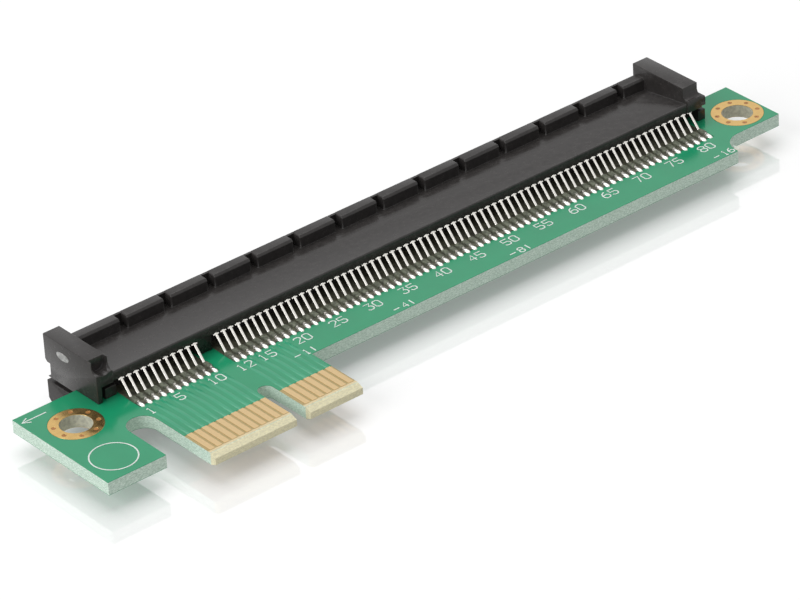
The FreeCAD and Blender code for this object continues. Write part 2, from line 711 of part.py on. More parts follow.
def make_connector_housing():
    """Moulded slot housing with ears, notched rim, feet, card slot and contact channels."""
    body = new_body("connector_housing", HOUSING_LEFT, FAR_EDGE, "0")
    add_ears(body)
    section = new_sketch(body, "housing_section", "YZ_Plane")
    draw_polygon(section, housing_section())
    pad(body, section, HOUSING_LENGTH)
    cut_rim_notches(body)
    cut_tail_bay(body)
    add_feet(body)
    cut_board_slots(body)
    cut_end_groove(body)
    cut_card_slot(body)
    cut_contact_channels(body)
    return body


# Assembly ----------------------------------------------------------------------------


def make_parts():
    """Every sub-part of the card."""
    upper = upper_contact_line()
    lower = lower_contact_line()
    short = (SHORT_FIRST, "sizes.short_count")
    long = (LONG_FIRST, "sizes.long_count")
    fingers = (LONG_FIRST, "sizes.finger_count")
    copper_top = CORE_TOP
    copper_bottom = f"{CORE_BOTTOM} - sizes.copper_thickness"
    return [
        make_board_core(),
        make_solder_mask(
            "solder_mask_top", CORE_TOP, "sizes.upper_pad_start", "sizes.upper_pad_end"
        ),
        make_solder_mask(
            "solder_mask_bottom", BOARD_BOTTOM, "sizes.lower_pad_start", "sizes.lower_pad_end"
        ),
        make_edge_fingers("short_fingers_top", *short, copper_top),
        make_edge_fingers("long_fingers_top", *fingers, copper_top),
        make_edge_fingers("short_fingers_bottom", *short, copper_bottom),
        make_edge_fingers("long_fingers_bottom", *fingers, copper_bottom),
        make_hole_land("left_land_top", HOLE_LEFT, copper_top),
        make_hole_land("left_land_bottom", HOLE_LEFT, copper_bottom),
        make_hole_land("right_land_top", HOLE_RIGHT, copper_top),
        make_hole_land("right_land_bottom", HOLE_RIGHT, copper_bottom),
        make_pads("short_pads_top", *short, upper_pad_profile()),
        make_pads("long_pads_top", *long, upper_pad_profile()),
        make_pads("short_pads_bottom", *short, lower_pad_profile()),
        make_pads("long_pads_bottom", *long, lower_pad_profile()),
        make_contacts("short_contacts_upper", *short, upper),
        make_contacts("long_contacts_upper", *long, upper),
        make_contacts("short_contacts_lower", *short, lower),
        make_contacts("long_contacts_lower", *long, lower),
        make_connector_housing(),
    ]


def check(parts):
    """Stop if an object of the document failed or a sub-part has no valid solid."""
    for item in document.Objects:
        if "Invalid" in item.State or "Error" in item.State:
            raise RuntimeError(f"{item.Name} failed: {item.State}")
    for part in parts:
        if part.Shape.isNull() or not part.Shape.isValid() or not part.Shape.Solids:
            raise RuntimeError(f"{part.Label} has no valid solid")


def export(parts):
    """Write one STEP file for each sub-part."""
    os.makedirs("parts", exist_ok=True)
    for part in parts:
        part.Shape.exportStep(f"parts/{part.Label}.step")
        print(part.Label, len(part.Shape.Solids), "solids", round(part.Shape.Volume, 3), "mm3")


parts = make_parts()
document.recompute()
check(parts)
export(parts)
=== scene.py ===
import math

import bmesh
import bpy
from bpy.props import FloatProperty, FloatVectorProperty, IntProperty, PointerProperty
from mathutils import Matrix, Vector, noise


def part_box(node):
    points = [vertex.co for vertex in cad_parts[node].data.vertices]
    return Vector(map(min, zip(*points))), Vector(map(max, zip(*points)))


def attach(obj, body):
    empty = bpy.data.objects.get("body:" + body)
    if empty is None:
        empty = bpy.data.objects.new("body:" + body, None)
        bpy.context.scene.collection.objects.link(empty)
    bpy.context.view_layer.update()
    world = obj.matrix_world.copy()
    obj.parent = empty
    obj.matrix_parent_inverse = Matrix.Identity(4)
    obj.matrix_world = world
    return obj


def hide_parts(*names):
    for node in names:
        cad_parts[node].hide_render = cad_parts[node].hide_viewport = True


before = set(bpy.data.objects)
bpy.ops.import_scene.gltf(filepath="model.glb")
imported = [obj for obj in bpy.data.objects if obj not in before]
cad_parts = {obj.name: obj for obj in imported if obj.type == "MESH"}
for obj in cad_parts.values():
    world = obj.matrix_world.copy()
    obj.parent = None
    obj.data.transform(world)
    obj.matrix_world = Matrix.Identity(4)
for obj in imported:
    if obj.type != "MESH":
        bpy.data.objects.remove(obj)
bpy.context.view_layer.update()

bl_info = {
    "name": "Riser Card",
    "version": (1, 0, 0),
    "blender": (4, 5, 0),
    "location": "3D View > Sidebar > Riser Card",
    "description": "Finishes an edge-connector riser card: board, plating, solder, contacts and housing",
    "category": "Object",
}

# Everything is in metres, in the frame of the card: X along the slot, +Y out of its mouth,
# +Z up, resting on Z = 0.
MM = 0.001
CORE_LOW, CORE_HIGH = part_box("board_core")
BOARD_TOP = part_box("solder_mask_top")[1].z
BOARD_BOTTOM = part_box("solder_mask_bottom")[0].z
FAR_EDGE = CORE_HIGH.y
FINGER_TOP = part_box("short_fingers_top")[1].y
FINGER_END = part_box("short_fingers_top")[0].y
TIP = CORE_LOW.y
BEVEL_START = TIP + 0.85 * MM


def length(name, millimetres, description):
    """Length property whose default is given in millimetres."""
    return FloatProperty(
        name=name,
        description=description,
        default=millimetres * MM,
        unit="LENGTH",
        subtype="DISTANCE",
        precision=5,
    )


def colour(name, red, green, blue, description):
    """Colour property."""
    return FloatVectorProperty(
        name=name,
        description=description,
        default=(red, green, blue, 1.0),
        subtype="COLOR",
        size=4,
        min=0.0,
        max=1.0,
    )


def angle(name, degrees, description):
    """Angle property whose default is given in degrees."""
    return FloatProperty(
        name=name,
        description=description,
        default=math.radians(degrees),
        unit="ROTATION",
        subtype="ANGLE",
    )


# Settings ----------------------------------------------------------------------------


class RISER_PG_finish(bpy.types.PropertyGroup):
    """Colours of the card's finishes."""

    mask_deep: colour("Mask", 0.012, 0.305, 0.140, "Solder mask over bare laminate and painted shade")
    mask_light: colour("Mask over copper", 0.034, 0.345, 0.180, "Solder mask over copper")
    laminate: colour("Laminate", 0.80, 0.95, 0.84, "Cut edge of the board")
    fibre: colour("Fibre", 0.48, 0.64, 0.53, "Glass fibre in the cut edge")
    tongue: colour("Tongue", 0.46, 0.36, 0.165, "Board between the fingers")
    shoulder: colour("Finger ends", 0.82, 0.69, 0.43, "Board just past the fingers")
    bevel: colour("Bevel", 0.92, 0.86, 0.58, "Ground bevel of the tongue")
    gold: colour("Gold", 0.69, 0.50, 0.265, "Plating of the fingers")
    land: colour("Land", 0.70, 0.46, 0.17, "Plating of the lands")
    tin: colour("Tin", 0.80, 0.78, 0.73, "Tin plating of the contacts")
    solder: colour("Solder", 0.86, 0.85, 0.81, "Solder on the pads")
    # Bare row: laminate between the feet, painted far darker than the tongue's bare board as painted shade
    # under the housing's shelf and the strips.
    bare: colour("Bare row", 0.100, 0.098, 0.062, "Laminate between the feet")
    # Flux: dull solder and flux round the feet, darkened as painted shade from the strips and the housing.
    flux: colour("Flux", 0.105, 0.115, 0.080, "Dull solder round the feet")
    plastic: colour("Housing", 0.034, 0.031, 0.030, "Moulded slot housing")
    plastic_shine: FloatProperty(
        name="Housing shine", description="Specular level of the housing", default=0.28, min=0.0, max=1.0
    )
    gate: colour("Gate mark", 0.48, 0.475, 0.47, "Torn plastic where the runner was")
    ink: colour("Ink", 0.80, 0.88, 0.83, "Printed legend")
    via: colour("Via", 0.50, 0.21, 0.05, "Mouth of a stitching via")
    drilled: colour("Drilled wall", 0.72, 0.71, 0.58, "Wall of a drilled hole")


class RISER_PG_land(bpy.types.PropertyGroup):
    """Gold lands round the mounting holes."""

    edge: length("Edge", 0.012, "Rounding of the copper's edge")
    via_circle: length("Via circle", 2.5, "Radius of the circle of vias")
    via_radius: length("Via mouth", 0.27, "Radius of a via's mouth")
    via_count: IntProperty(name="Vias", description="Vias in one land", default=8, min=3)
    via_depth: length("Via depth", 0.03, "Fill of a via below the copper's face")
    lining: length("Lining", 0.01, "Thickness of a hole's smeared wall")


class RISER_PG_trace(bpy.types.PropertyGroup):
    """Mask over the copper traces."""

    pitch: length("Pitch", 1.0, "From one trace to the next")
    trace_width: length("Width", 0.46, "Width of a trace under the mask")
    trace_rise: length("Rise", 0.02, "How far the mask stands proud over a trace")
    trace_slope: length("Slope", 0.05, "Fall of the mask beside a trace")
    trace_shift: length("Shift", 0.05, "Trace beside the middle of its finger")
    trace_gap: length("Gap", 0.25, "From a trace to its pad")


class RISER_PG_solder(bpy.types.PropertyGroup):
    """Solder on the pads of the contacts."""

    pitch: length("Pitch", 1.0, "From one contact to the next")
    width: length("Width", 0.66, "Width of a pad")
    # The film's dark colour is partly painted shade.
    film: length("Film", 0.34, "Dull solder over the foot")
    film_end: length("Film end", 0.45, "From the dull solder and painted shade's end to the pad's end")
    row_from: length("Row from", 0.1, "Bare row from the pads' toe ends")
    row_side: length("Row side", 0.0, "Bare row beside the end pads")
    row_back: length("Row back", 2.35, "Back of the bare row from the board's far edge")
    row_rise: length("Row rise", 0.012, "Laminate's level in the bare row")
    drop_width: length("Drop width", 0.58, "Width of the drop at the foot's end")
    drop_length: length("Drop length", 1.45, "Length of that drop")
    drop_ahead: length("Drop ahead", 0.3, "How far the drop runs past the pad")


class RISER_PG_contact(bpy.types.PropertyGroup):
    """Bent strips of both contact rows."""

    pitch: length("Pitch", 1.0, "From one contact to the next")
    width: length("Width", 0.3, "Width of the strip")
    thickness: length("Thickness", 0.2, "Thickness of the strip")
    edge: length("Edge", 0.03, "Rounding of the strip's edges")
    shoulder_width: length("Shoulder", 0.74, "Width across the stop shoulders")
    shoulder_length: length("Shoulder length", 0.13, "Shoulders along the strip")
    bend_radius: length("Bend", 0.22, "Radius of the middle line in a bend")
    knee: length("Knee", 5.45, "Heel of an upper foot from the board's far edge")
    exit: length("Exit", 3.8, "Bend of an upper tail from the board's far edge")
    exit_height: length("Exit height", 1.95, "That bend above the board's top")
    bend: length("Lower bend", 2.2, "Bend of a lower tail from the board's far edge")
    bow: length("Bow", 3.6, "Bow of the beam ahead of the board's far edge")
    bow_upper: length("Upper bow", 1.1, "Upper bow above the board's top")
    bow_lower: length("Lower bow", -0.1, "Lower bow above the board's top")
    tip: length("Tip", 4.35, "Tip of the beam ahead of the board's far edge")
    tip_rise: length("Tip rise", 0.3, "How far the tip turns away from the card")


class RISER_PG_housing(bpy.types.PropertyGroup):
    """Edges and marks of the slot housing."""

    edge: length("Edge", 0.06, "Rounding of the moulded edges")
    block_edge: length("Block edge", 0.22, "Rounding of the rim blocks' corners")
    wall_top: length("Wall top", 6.95, "Top of the upper wall at its near edge")
    wall_near: length("Wall near", 3.8, "That edge from the board's far edge")
    wall_fall: length("Wall fall", 0.93, "Fall of the upper wall from there to the rim")
    rim_inside: length("Rim inside", 3.65, "Rim's inner face ahead of the board's far edge")
    rim_round: length("Rim round", 0.3, "Reach of the rim's inner chamfer")
    rim_ahead: length("Rim ahead", 0.2, "How far the inner face of the upper rim comes forward")
    rim_drop: length("Rim drop", 0.27, "How much lower the upper rim's blocks stand")
    lip_rise: length("Lip rise", 0.55, "Band along the mating face above the wall top")
    lip_width: length("Lip width", 0.75, "Band along Y")
    lip_bevel: length("Lip bevel", 0.43, "Bevel of the band")
    ear_left: length("Left ear", 2.25, "Left ear's inner side from the housing's end")
    ear_right: length("Right ear", 3.0, "Right ear's inner side from the housing's end")
    hollow_x: length("Hollow place", 1.12, "Hollow of the left ear from the housing's end")
    hollow_z: length("Hollow height", 8.15, "Middle of the hollow's round bottom above the rest")
    hollow_radius: length("Hollow radius", 1.0, "Radius of that bottom")
    hollow_back: length("Hollow depth", 2.65, "Back of the hollow from the board's far edge")
    gate_y: length("Gate place", 9.7, "Gate mark along Y")
    gate_z: length("Gate height", 7.24, "Gate mark above the rest")
    gate_length: length("Gate length", 2.25, "Gate mark, long way")
    gate_height: length("Gate width", 0.95, "Gate mark, short way")


class RISER_PG_print(bpy.types.PropertyGroup):
    """Printed legend: an arrow, plain numbers and their ticks."""

    stroke: length("Stroke", 0.17, "Width of a printed line")
    ink: length("Ink", 0.02, "Thickness of the ink")
    lift: length("Lift", 0.015, "Middle of the ink above the mask")
    digit: length("Digit", 1.25, "Height of the numbers")


class RISER_PG_stage(bpy.types.PropertyGroup):
    """Floor, lamps and camera."""

    azimuth: angle("Azimuth", -37.997, "Camera round the card")
    elevation: angle("Elevation", 31.169, "Camera above the floor")
    roll: angle("Roll", -3.371, "Camera about its own axis")
    distance: length("Distance", 578.58, "Camera to the middle of the view")
    look_x: length("Middle X", -2.65, "Middle of the view")
    look_y: length("Middle Y", 2.355, "Middle of the view")
    look_z: length("Middle Z", 0.21, "Middle of the view")
    lens: FloatProperty(name="Lens", description="Focal length in millimetres", default=232.27)
    world: FloatProperty(name="World", description="Strength of the white room", default=0.28)
    key: FloatProperty(name="Key lamp", description="Power of the left soft lamp", default=3.4)
    top: FloatProperty(name="Top lamp", description="Power of the overhead soft lamp", default=4.8)
    lift: FloatProperty(name="Lift", description="White that the floor shows by itself", default=0.24)


SETTINGS = {
    "riser_finish": RISER_PG_finish,
    "riser_land": RISER_PG_land,
    "riser_trace": RISER_PG_trace,
    "riser_solder": RISER_PG_solder,
    "riser_contact": RISER_PG_contact,
    "riser_housing": RISER_PG_housing,
    "riser_print": RISER_PG_print,
    "riser_stage": RISER_PG_stage,
}


# Shader node groups ------------------------------------------------------------------


def add_sockets(group, inputs, outputs):
    """Named inputs with their defaults, and named outputs, on a node group."""
    for name, default in inputs:
        socket = group.interface.new_socket(name, in_out="INPUT", socket_type="NodeSocketFloat")
        socket.default_value = default
    for name, kind in outputs:
        group.interface.new_socket(name, in_out="OUTPUT", socket_type=kind)


def speckle_group():
    """Soft spots all over a surface, as a mask from 0 to 1."""
    group = bpy.data.node_groups.get("Speckle")
    if group:
        return group
    group = bpy.data.node_groups.new("Speckle", "ShaderNodeTree")
    add_sockets(
        group,
        [("Scale", 2000.0), ("Low", 0.35), ("High", 0.65), ("Detail", 3.0)],
        [("Mask", "NodeSocketFloat")],
    )
    nodes, links = group.nodes, group.links
    entry = nodes.new("NodeGroupInput")
    leave = nodes.new("NodeGroupOutput")
    place = nodes.new("ShaderNodeTexCoord")
    spots = nodes.new("ShaderNodeTexNoise")
    spread = nodes.new("ShaderNodeMapRange")
    links.new(place.outputs["Object"], spots.inputs["Vector"])
    links.new(entry.outputs["Scale"], spots.inputs["Scale"])
    links.new(entry.outputs["Detail"], spots.inputs["Detail"])
    links.new(spots.outputs["Fac"], spread.inputs["Value"])
    links.new(entry.outputs["Low"], spread.inputs["From Min"])
    links.new(entry.outputs["High"], spread.inputs["From Max"])
    links.new(spread.outputs["Result"], leave.inputs["Mask"])
    return group


def grain_group():
    """Fine relief of a surface, as a normal."""
    group = bpy.data.node_groups.get("Grain")
    if group:
        return group
    group = bpy.data.node_groups.new("Grain", "ShaderNodeTree")
    add_sockets(
        group,
        [("Scale", 4000.0), ("Depth", 0.000002), ("Detail", 3.0)],
        [("Normal", "NodeSocketVector")],
    )
    nodes, links = group.nodes, group.links
    entry = nodes.new("NodeGroupInput")
    leave = nodes.new("NodeGroupOutput")
    place = nodes.new("ShaderNodeTexCoord")
    relief = nodes.new("ShaderNodeTexNoise")
    bump = nodes.new("ShaderNodeBump")
    links.new(place.outputs["Object"], relief.inputs["Vector"])
    links.new(entry.outputs["Scale"], relief.inputs["Scale"])
    links.new(entry.outputs["Detail"], relief.inputs["Detail"])
    links.new(relief.outputs["Fac"], bump.inputs["Height"])
    links.new(entry.outputs["Depth"], bump.inputs["Distance"])
    links.new(bump.outputs["Normal"], leave.inputs["Normal"])
    return group


# Materials ---------------------------------------------------------------------------


def place_group(material, group, **values):
    """One of the shared node groups, placed in a material with its own values."""
    node = material.node_tree.nodes.new("ShaderNodeGroup")
    node.node_tree = group
    for name, value in values.items():
        node.inputs[name].default_value = value
    return node


def mix_colours(material, mask, first, second):
    """Output of a colour mix: first where the mask is 0, second where it is 1."""
    node = material.node_tree.nodes.new("ShaderNodeMix")
    node.data_type = "RGBA"
    for socket, value in (("A", first), ("B", second)):
        target = next(i for i in node.inputs if i.name == socket and i.type == "RGBA")
        if isinstance(value, bpy.types.NodeSocket):
            material.node_tree.links.new(value, target)
        else:
            target.default_value = value
    material.node_tree.links.new(mask, node.inputs["Factor"])
    return next(o for o in node.outputs if o.type == "RGBA")


def spread_value(material, value, low, high, to_low, to_high):
    """Output of a map range from low..high to to_low..to_high."""
    node = material.node_tree.nodes.new("ShaderNodeMapRange")
    material.node_tree.links.new(value, node.inputs["Value"])
    node.inputs["From Min"].default_value = low
    node.inputs["From Max"].default_value = high
    node.inputs["To Min"].default_value = to_low
    node.inputs["To Max"].default_value = to_high
    return node.outputs["Result"]


def new_material(name, roughness, metallic=0.0, grain=None):
    """Material with a Principled shader; grain is the scale and depth of its relief."""
    material = bpy.data.materials.new(name)
    material.use_nodes = True
    shader = material.node_tree.nodes["Principled BSDF"]
    shader.inputs["Roughness"].default_value = roughness
    shader.inputs["Metallic"].default_value = metallic
    if grain:
        relief = place_group(material, grain_group(), Scale=grain[0], Depth=grain[1])
        material.node_tree.links.new(relief.outputs["Normal"], shader.inputs["Normal"])
    return material, shader


def speckled_material(name, first, second, scale, roughness, rough_spread, metallic=0.0, grain=None):
    """Two tones and a little change of gloss, both from the same spots."""
    material, shader = new_material(name, roughness, metallic, grain)
    links = material.node_tree.links
    spots = place_group(material, speckle_group(), Scale=scale)
    mask = spots.outputs["Mask"]
    links.new(mix_colours(material, mask, first, second), shader.inputs["Base Color"])
    gloss = spread_value(material, mask, 0.0, 1.0, roughness - rough_spread, roughness + rough_spread)
    links.new(gloss, shader.inputs["Roughness"])
    return material


def shade(tone, factor):
    """The same colour, lighter or darker."""
    return tuple(min(channel * factor, 1.0) for channel in tone[:3]) + (1.0,)


def make_mask_material(name, first, second):
    """Glossy solder mask."""
    return speckled_material(name, first, second, 260.0, 0.16, 0.02, grain=(700.0, 0.0000003))


def make_laminate_material(finish):
    """Board core: fibrous cut edges, a tan tongue and its pale ground bevel."""
    material, shader = new_material(LABELS["laminate"], 0.7, grain=(3600.0, 0.00003))
    nodes, links = material.node_tree.nodes, material.node_tree.links
    place = nodes.new("ShaderNodeTexCoord")
    layers = nodes.new("ShaderNodeMapping")
    layers.inputs["Scale"].default_value = (1.0, 1.0, 3.2)
    fibres = nodes.new("ShaderNodeTexNoise")
    fibres.inputs["Scale"].default_value = 3600.0
    fibres.inputs["Detail"].default_value = 4.0
    links.new(place.outputs["Object"], layers.inputs["Vector"])
    links.new(layers.outputs["Vector"], fibres.inputs["Vector"])
    strands = spread_value(material, fibres.outputs["Fac"], 0.38, 0.66, 1.0, 0.0)
    edge = mix_colours(material, strands, finish.laminate, finish.fibre)
    ground = mix_colours(material, strands, finish.bevel, shade(finish.bevel, 0.8))

    facing = nodes.new("ShaderNodeNewGeometry")
    axes = nodes.new("ShaderNodeSeparateXYZ")
    links.new(facing.outputs["Normal"], axes.inputs["Vector"])
    upright = nodes.new("ShaderNodeMath")
    upright.operation = "ABSOLUTE"
    links.new(axes.outputs["Z"], upright.inputs[0])
    flat = spread_value(material, upright.outputs["Value"], 0.985, 0.995, 0.0, 1.0)
    heights = nodes.new("ShaderNodeSeparateXYZ")
    links.new(place.outputs["Object"], heights.inputs["Vector"])
    along = heights.outputs["Y"]

    def past(y):
        """Mask that turns from 0 to 1 on the way out over a line across the tongue."""
        return spread_value(material, along, y + 0.08 * MM, y - 0.08 * MM, 0.0, 1.0)

    shoulder = mix_colours(material, strands, finish.shoulder, shade(finish.shoulder, 0.88))
    bare = mix_colours(material, past(FINGER_TOP), shade(finish.mask_deep, 0.7), finish.tongue)
    bare = mix_colours(material, past(FINGER_END), bare, shoulder)
    bare = mix_colours(material, past(BEVEL_START), bare, ground)
    paint = mix_colours(material, past(BEVEL_START), edge, ground)
    links.new(mix_colours(material, flat, paint, bare), shader.inputs["Base Color"])
    return material


LABELS = {
    "mask": "solder mask",
    "mask_ridge": "mask over copper",
    "laminate": "board laminate",
    "gold": "gold plating",
    "land": "land plating",
    "bare": "bare laminate and painted shade",
    "tin": "tinned contacts",
    "solder": "bright solder",
    "flux": "dull solder and painted shade",
    "plastic": "housing plastic",
    "gate": "torn plastic",
    "ink": "legend ink",
    "via": "via fill",
    "drilled": "drilled wall",
}


def make_materials(finish):
    """Every finish of the card, by its name in LABELS."""
    mask, ridge = finish.mask_deep, finish.mask_light
    make_mask_material(LABELS["mask"], mask, shade(mask, 1.07))
    make_mask_material(LABELS["mask_ridge"], ridge, shade(ridge, 1.1))
    make_laminate_material(finish)
    # Name, tone, its second shade, size of the spots, roughness and its spread, metal, relief.
    table = (
        ("gold", finish.gold, 0.92, 900.0, 0.22, 0.05, 1.0, (2500.0, 0.0000010)),
        ("land", finish.land, 0.9, 1300.0, 0.2, 0.06, 1.0, (2500.0, 0.0000012)),
        # Bare row: its dark tone is partly painted shade.
        ("bare", finish.bare, 0.35, 2200.0, 0.6, 0.1, 0.0, (2600.0, 0.00001)),
        ("tin", finish.tin, 0.86, 2600.0, 0.26, 0.06, 1.0, (3600.0, 0.0000015)),
        ("solder", finish.solder, 0.82, 3000.0, 0.24, 0.08, 1.0, (2600.0, 0.0000025)),
        ("plastic", finish.plastic, 1.25, 1400.0, 0.24, 0.04, 0.0, (5200.0, 0.0000022)),
        ("gate", finish.gate, 0.6, 2400.0, 0.6, 0.1, 0.0, (5200.0, 0.00003)),
        ("ink", finish.ink, 0.9, 5000.0, 0.55, 0.05, 0.0, (5000.0, 0.000004)),
        ("via", finish.via, 0.6, 6000.0, 0.4, 0.1, 0.0, (5000.0, 0.00001)),
        ("drilled", finish.drilled, 0.7, 2400.0, 0.45, 0.1, 0.0, (4200.0, 0.00001)),
    )
    for name, tone, darker, scale, roughness, spread, metallic, grain in table:
        speckled_material(
            LABELS[name], tone, shade(tone, darker), scale, roughness, spread, metallic, grain
        )
    # Film round the feet: flux colour in two tones; its dark base is partly painted shade.
    speckled_material(
        LABELS["flux"], shade(finish.flux, 1.5), shade(finish.flux, 0.5), 2600.0, 0.55, 0.1,
        grain=(2600.0, 0.00001),
    )
    shader = material_named("plastic").node_tree.nodes["Principled BSDF"]
    shader.inputs["Specular IOR Level"].default_value = finish.plastic_shine


def material_named(name):
    """Finish made by the finishes operator, under its key."""
    return bpy.data.materials[LABELS[name]]


def dress(node_name, finish_name):
    """A CAD node keeps its shape and takes a finish."""
    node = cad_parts[node_name]
    for slot in node.material_slots:
        slot.material = material_named(finish_name)


# Mesh helpers ------------------------------------------------------------------------


def finish_piece(name, mesh, finish_name, replaces=(), sharp=35.0):
    """Object for a mesh, smooth but for its sharp edges, riding on the card."""
    mesh.materials.append(material_named(finish_name))
    mesh.shade_smooth()
    mesh.set_sharp_from_angle(angle=math.radians(sharp))
    piece = bpy.data.objects.new(name, mesh)
    bpy.context.scene.collection.objects.link(piece)
    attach(piece, "root")
    if replaces:
        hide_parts(*replaces)
    return piece


def mesh_of(name, shape):
    """Mesh of an edited shape, which is let go."""
    mesh = bpy.data.meshes.new(name)
    shape.to_mesh(mesh)
    shape.free()
    return mesh


def draft_of(name, mesh):
    """Object that carries a mesh or a curve while it is worked on."""
    draft = bpy.data.objects.new(name, mesh)
    bpy.context.scene.collection.objects.link(draft)
    return draft


def mesh_of_draft(draft):
    """Mesh of a draft with its modifiers applied; the draft is removed."""
    view = bpy.context.evaluated_depsgraph_get()
    mesh = bpy.data.meshes.new_from_object(draft.evaluated_get(view))
    bpy.data.objects.remove(draft)
    return mesh


def band(first, second, count):
    """Faces between two closed rings of corners, given by the index each ring starts at."""
    return [
        (first + step, first + (step + 1) % count, second + (step + 1) % count, second + step)
        for step in range(count)
    ]


def prism(name, corners, ends):
    """Closed form between two rings; corners(end) gives the ring at each of the two ends."""
    rings = [corners(end) for end in ends]
    count = len(rings[0])
    faces = [tuple(range(count)), tuple(range(count, 2 * count))] + band(0, count, count)
    return mesh_from(name, rings[0] + rings[1], faces)


def mesh_from(name, vertices, faces):
    """Mesh with all its faces turned outward."""
    shape = bmesh.new()
    corners = [shape.verts.new(vertex) for vertex in vertices]
    for face in faces:
        shape.faces.new([corners[index] for index in face])
    bmesh.ops.recalc_face_normals(shape, faces=shape.faces)
    return mesh_of(name, shape)


def row_places(node_name, pitch):
    """X of each piece in a CAD row of equal pieces, each narrower than the pitch."""
    low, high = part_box(node_name)
    gaps = int((high.x - low.x) / pitch)
    first = (low.x + high.x - gaps * pitch) / 2
    return [first + index * pitch for index in range(gaps + 1)]


def rounded_path(corners, radius, steps=4):
    """Path through corners in the YZ plane, with an arc at each inner one."""
    path = [Vector(corners[0])]
    for before, corner, after in zip(corners, corners[1:], corners[2:]):
        corner = Vector(corner)
        back = (Vector(before) - corner).normalized()
        ahead = (Vector(after) - corner).normalized()
        half = back.angle(ahead) / 2
        reach = radius / math.tan(half)
        centre = corner + (back + ahead).normalized() * (radius / math.sin(half))
        start = corner + back * reach - centre
        finish = corner + ahead * reach - centre
        turn = start.angle(finish)
        for step in range(steps + 1):
            share = step / steps
            blend = (
                math.sin((1 - share) * turn) * start + math.sin(share * turn) * finish
            ) / math.sin(turn)
            path.append(centre + blend)
    path.append(Vector(corners[-1]))
    return path


def strip_section(x, point, normal, width, thickness, edge):
    """Eight corners of a strip's section with broken edges."""
    half_width, half_thickness = width / 2, thickness / 2
    corners = (
        (half_width - edge, half_thickness), (half_width, half_thickness - edge),
        (half_width, edge - half_thickness), (half_width - edge, -half_thickness),
        (edge - half_width, -half_thickness), (-half_width, edge - half_thickness),
        (-half_width, half_thickness - edge), (edge - half_width, half_thickness),
    )
    return [
        (x + across, point.x + normal.x * out, point.y + normal.y * out) for across, out in corners
    ]


def add_strip(vertices, faces, x, stations, thickness, edge):
    """One bent strip; stations are its path's points with the width at each."""
    count = 8
    start = len(vertices)
    points = [point for point, width in stations]
    for index, (point, width) in enumerate(stations):
        before = points[max(index - 1, 0)]
        after = points[min(index + 1, len(points) - 1)]
        if (after - before).length < 1e-9:
            after = points[min(index + 2, len(points) - 1)]
        along = (after - before).normalized()
        normal = Vector((-along.y, along.x))
        vertices.extend(strip_section(x, point, normal, width, thickness, edge))
    for index in range(len(stations) - 1):
        ring = start + index * count
        faces.extend(band(ring, ring + count, count))
    last = start + (len(stations) - 1) * count
    faces.append(tuple(range(start, start + count)))
    faces.append(tuple(range(last, last + count)))


def circle(x, y, radius, count):
    """Points of a circle in the board's plane."""
    return [
        (x + radius * math.cos(2 * math.pi * step / count),
         y + radius * math.sin(2 * math.pi * step / count))
        for step in range(count)
    ]


def plate_with_holes(name, outline, holes, low, high, edge):
    """Round plate with round holes and broken edges; circles are (x, y, radius, count)."""
    shape = bmesh.new()
    rims = {"low": [], "high": []}
    for ring, sign in [(outline, -1.0)] + [(hole, 1.0) for hole in holes]:
        x, y, radius, count = ring
        inset = circle(x, y, radius + sign * edge, count)
        full = circle(x, y, radius, count)
        levels = [(inset, low), (full, low + edge), (full, high - edge), (inset, high)]
        loops = [[shape.verts.new((u, v, z)) for u, v in points] for points, z in levels]
        for lower, upper in zip(loops, loops[1:]):
            for index in range(count):
                following = (index + 1) % count
                shape.faces.new((lower[index], lower[following], upper[following], upper[index]))
        for side, loop in (("low", loops[0]), ("high", loops[-1])):
            rims[side] += [
                shape.edges.get((loop[index], loop[(index + 1) % count])) for index in range(count)
            ]
    for side in rims.values():
        bmesh.ops.triangle_fill(shape, use_beauty=True, edges=side)
    bmesh.ops.recalc_face_normals(shape, faces=shape.faces)
    return mesh_of(name, shape)


def join_meshes(name, meshes):
    """One mesh from several."""
    shape = bmesh.new()
    for mesh in meshes:
        shape.from_mesh(mesh)
        bpy.data.meshes.remove(mesh)
    return mesh_of(name, shape)


# Lands and holes ---------------------------------------------------------------------


def via_places(settings, x, y):
    """Centres of one land's vias."""
    places = []
    for index in range(settings.via_count):
        turn = 2 * math.pi * (index + 0.5) / settings.via_count
        places.append((
            x + settings.via_circle * math.cos(turn), y + settings.via_circle * math.sin(turn),
        ))
    return places


def make_land(settings, node_name):
    """Gold land with the mouths of its vias, and the fill inside them."""
    low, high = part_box(node_name)
    x, y = (low.x + high.x) / 2, (low.y + high.y) / 2
    vias = [(u, v, settings.via_radius, 20) for u, v in via_places(settings, x, y)]
    hole = (x, y, hole_radius(), 72)
    outline = (x, y, (high.x - low.x) / 2, 96)
    plate = plate_with_holes(
        f"{node_name}_plating", outline, [hole] + vias, low.z, high.z, settings.edge
    )
    finish_piece(f"{node_name}_plating", plate, "land", replaces=(node_name,))
    top = node_name.endswith("top")
    floor = low.z if top else low.z + settings.via_depth
    ceiling = high.z - settings.via_depth if top else high.z
    fills = [
        plate_with_holes("fill", (u, v, radius, count), [], floor, ceiling, settings.edge / 2)
        for u, v, radius, count in vias
    ]
    finish_piece(f"{node_name}_via_fill", join_meshes("via_fill", fills), "via")


def hole_radius():
    """Radius of the mounting holes, from the land's own inner edge."""
    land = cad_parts["left_land_top"]
    low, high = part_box("left_land_top")
    middle = Vector(((low.x + high.x) / 2, (low.y + high.y) / 2, 0.0))
    return min((Vector((v.co.x, v.co.y, 0.0)) - middle).length for v in land.data.vertices)


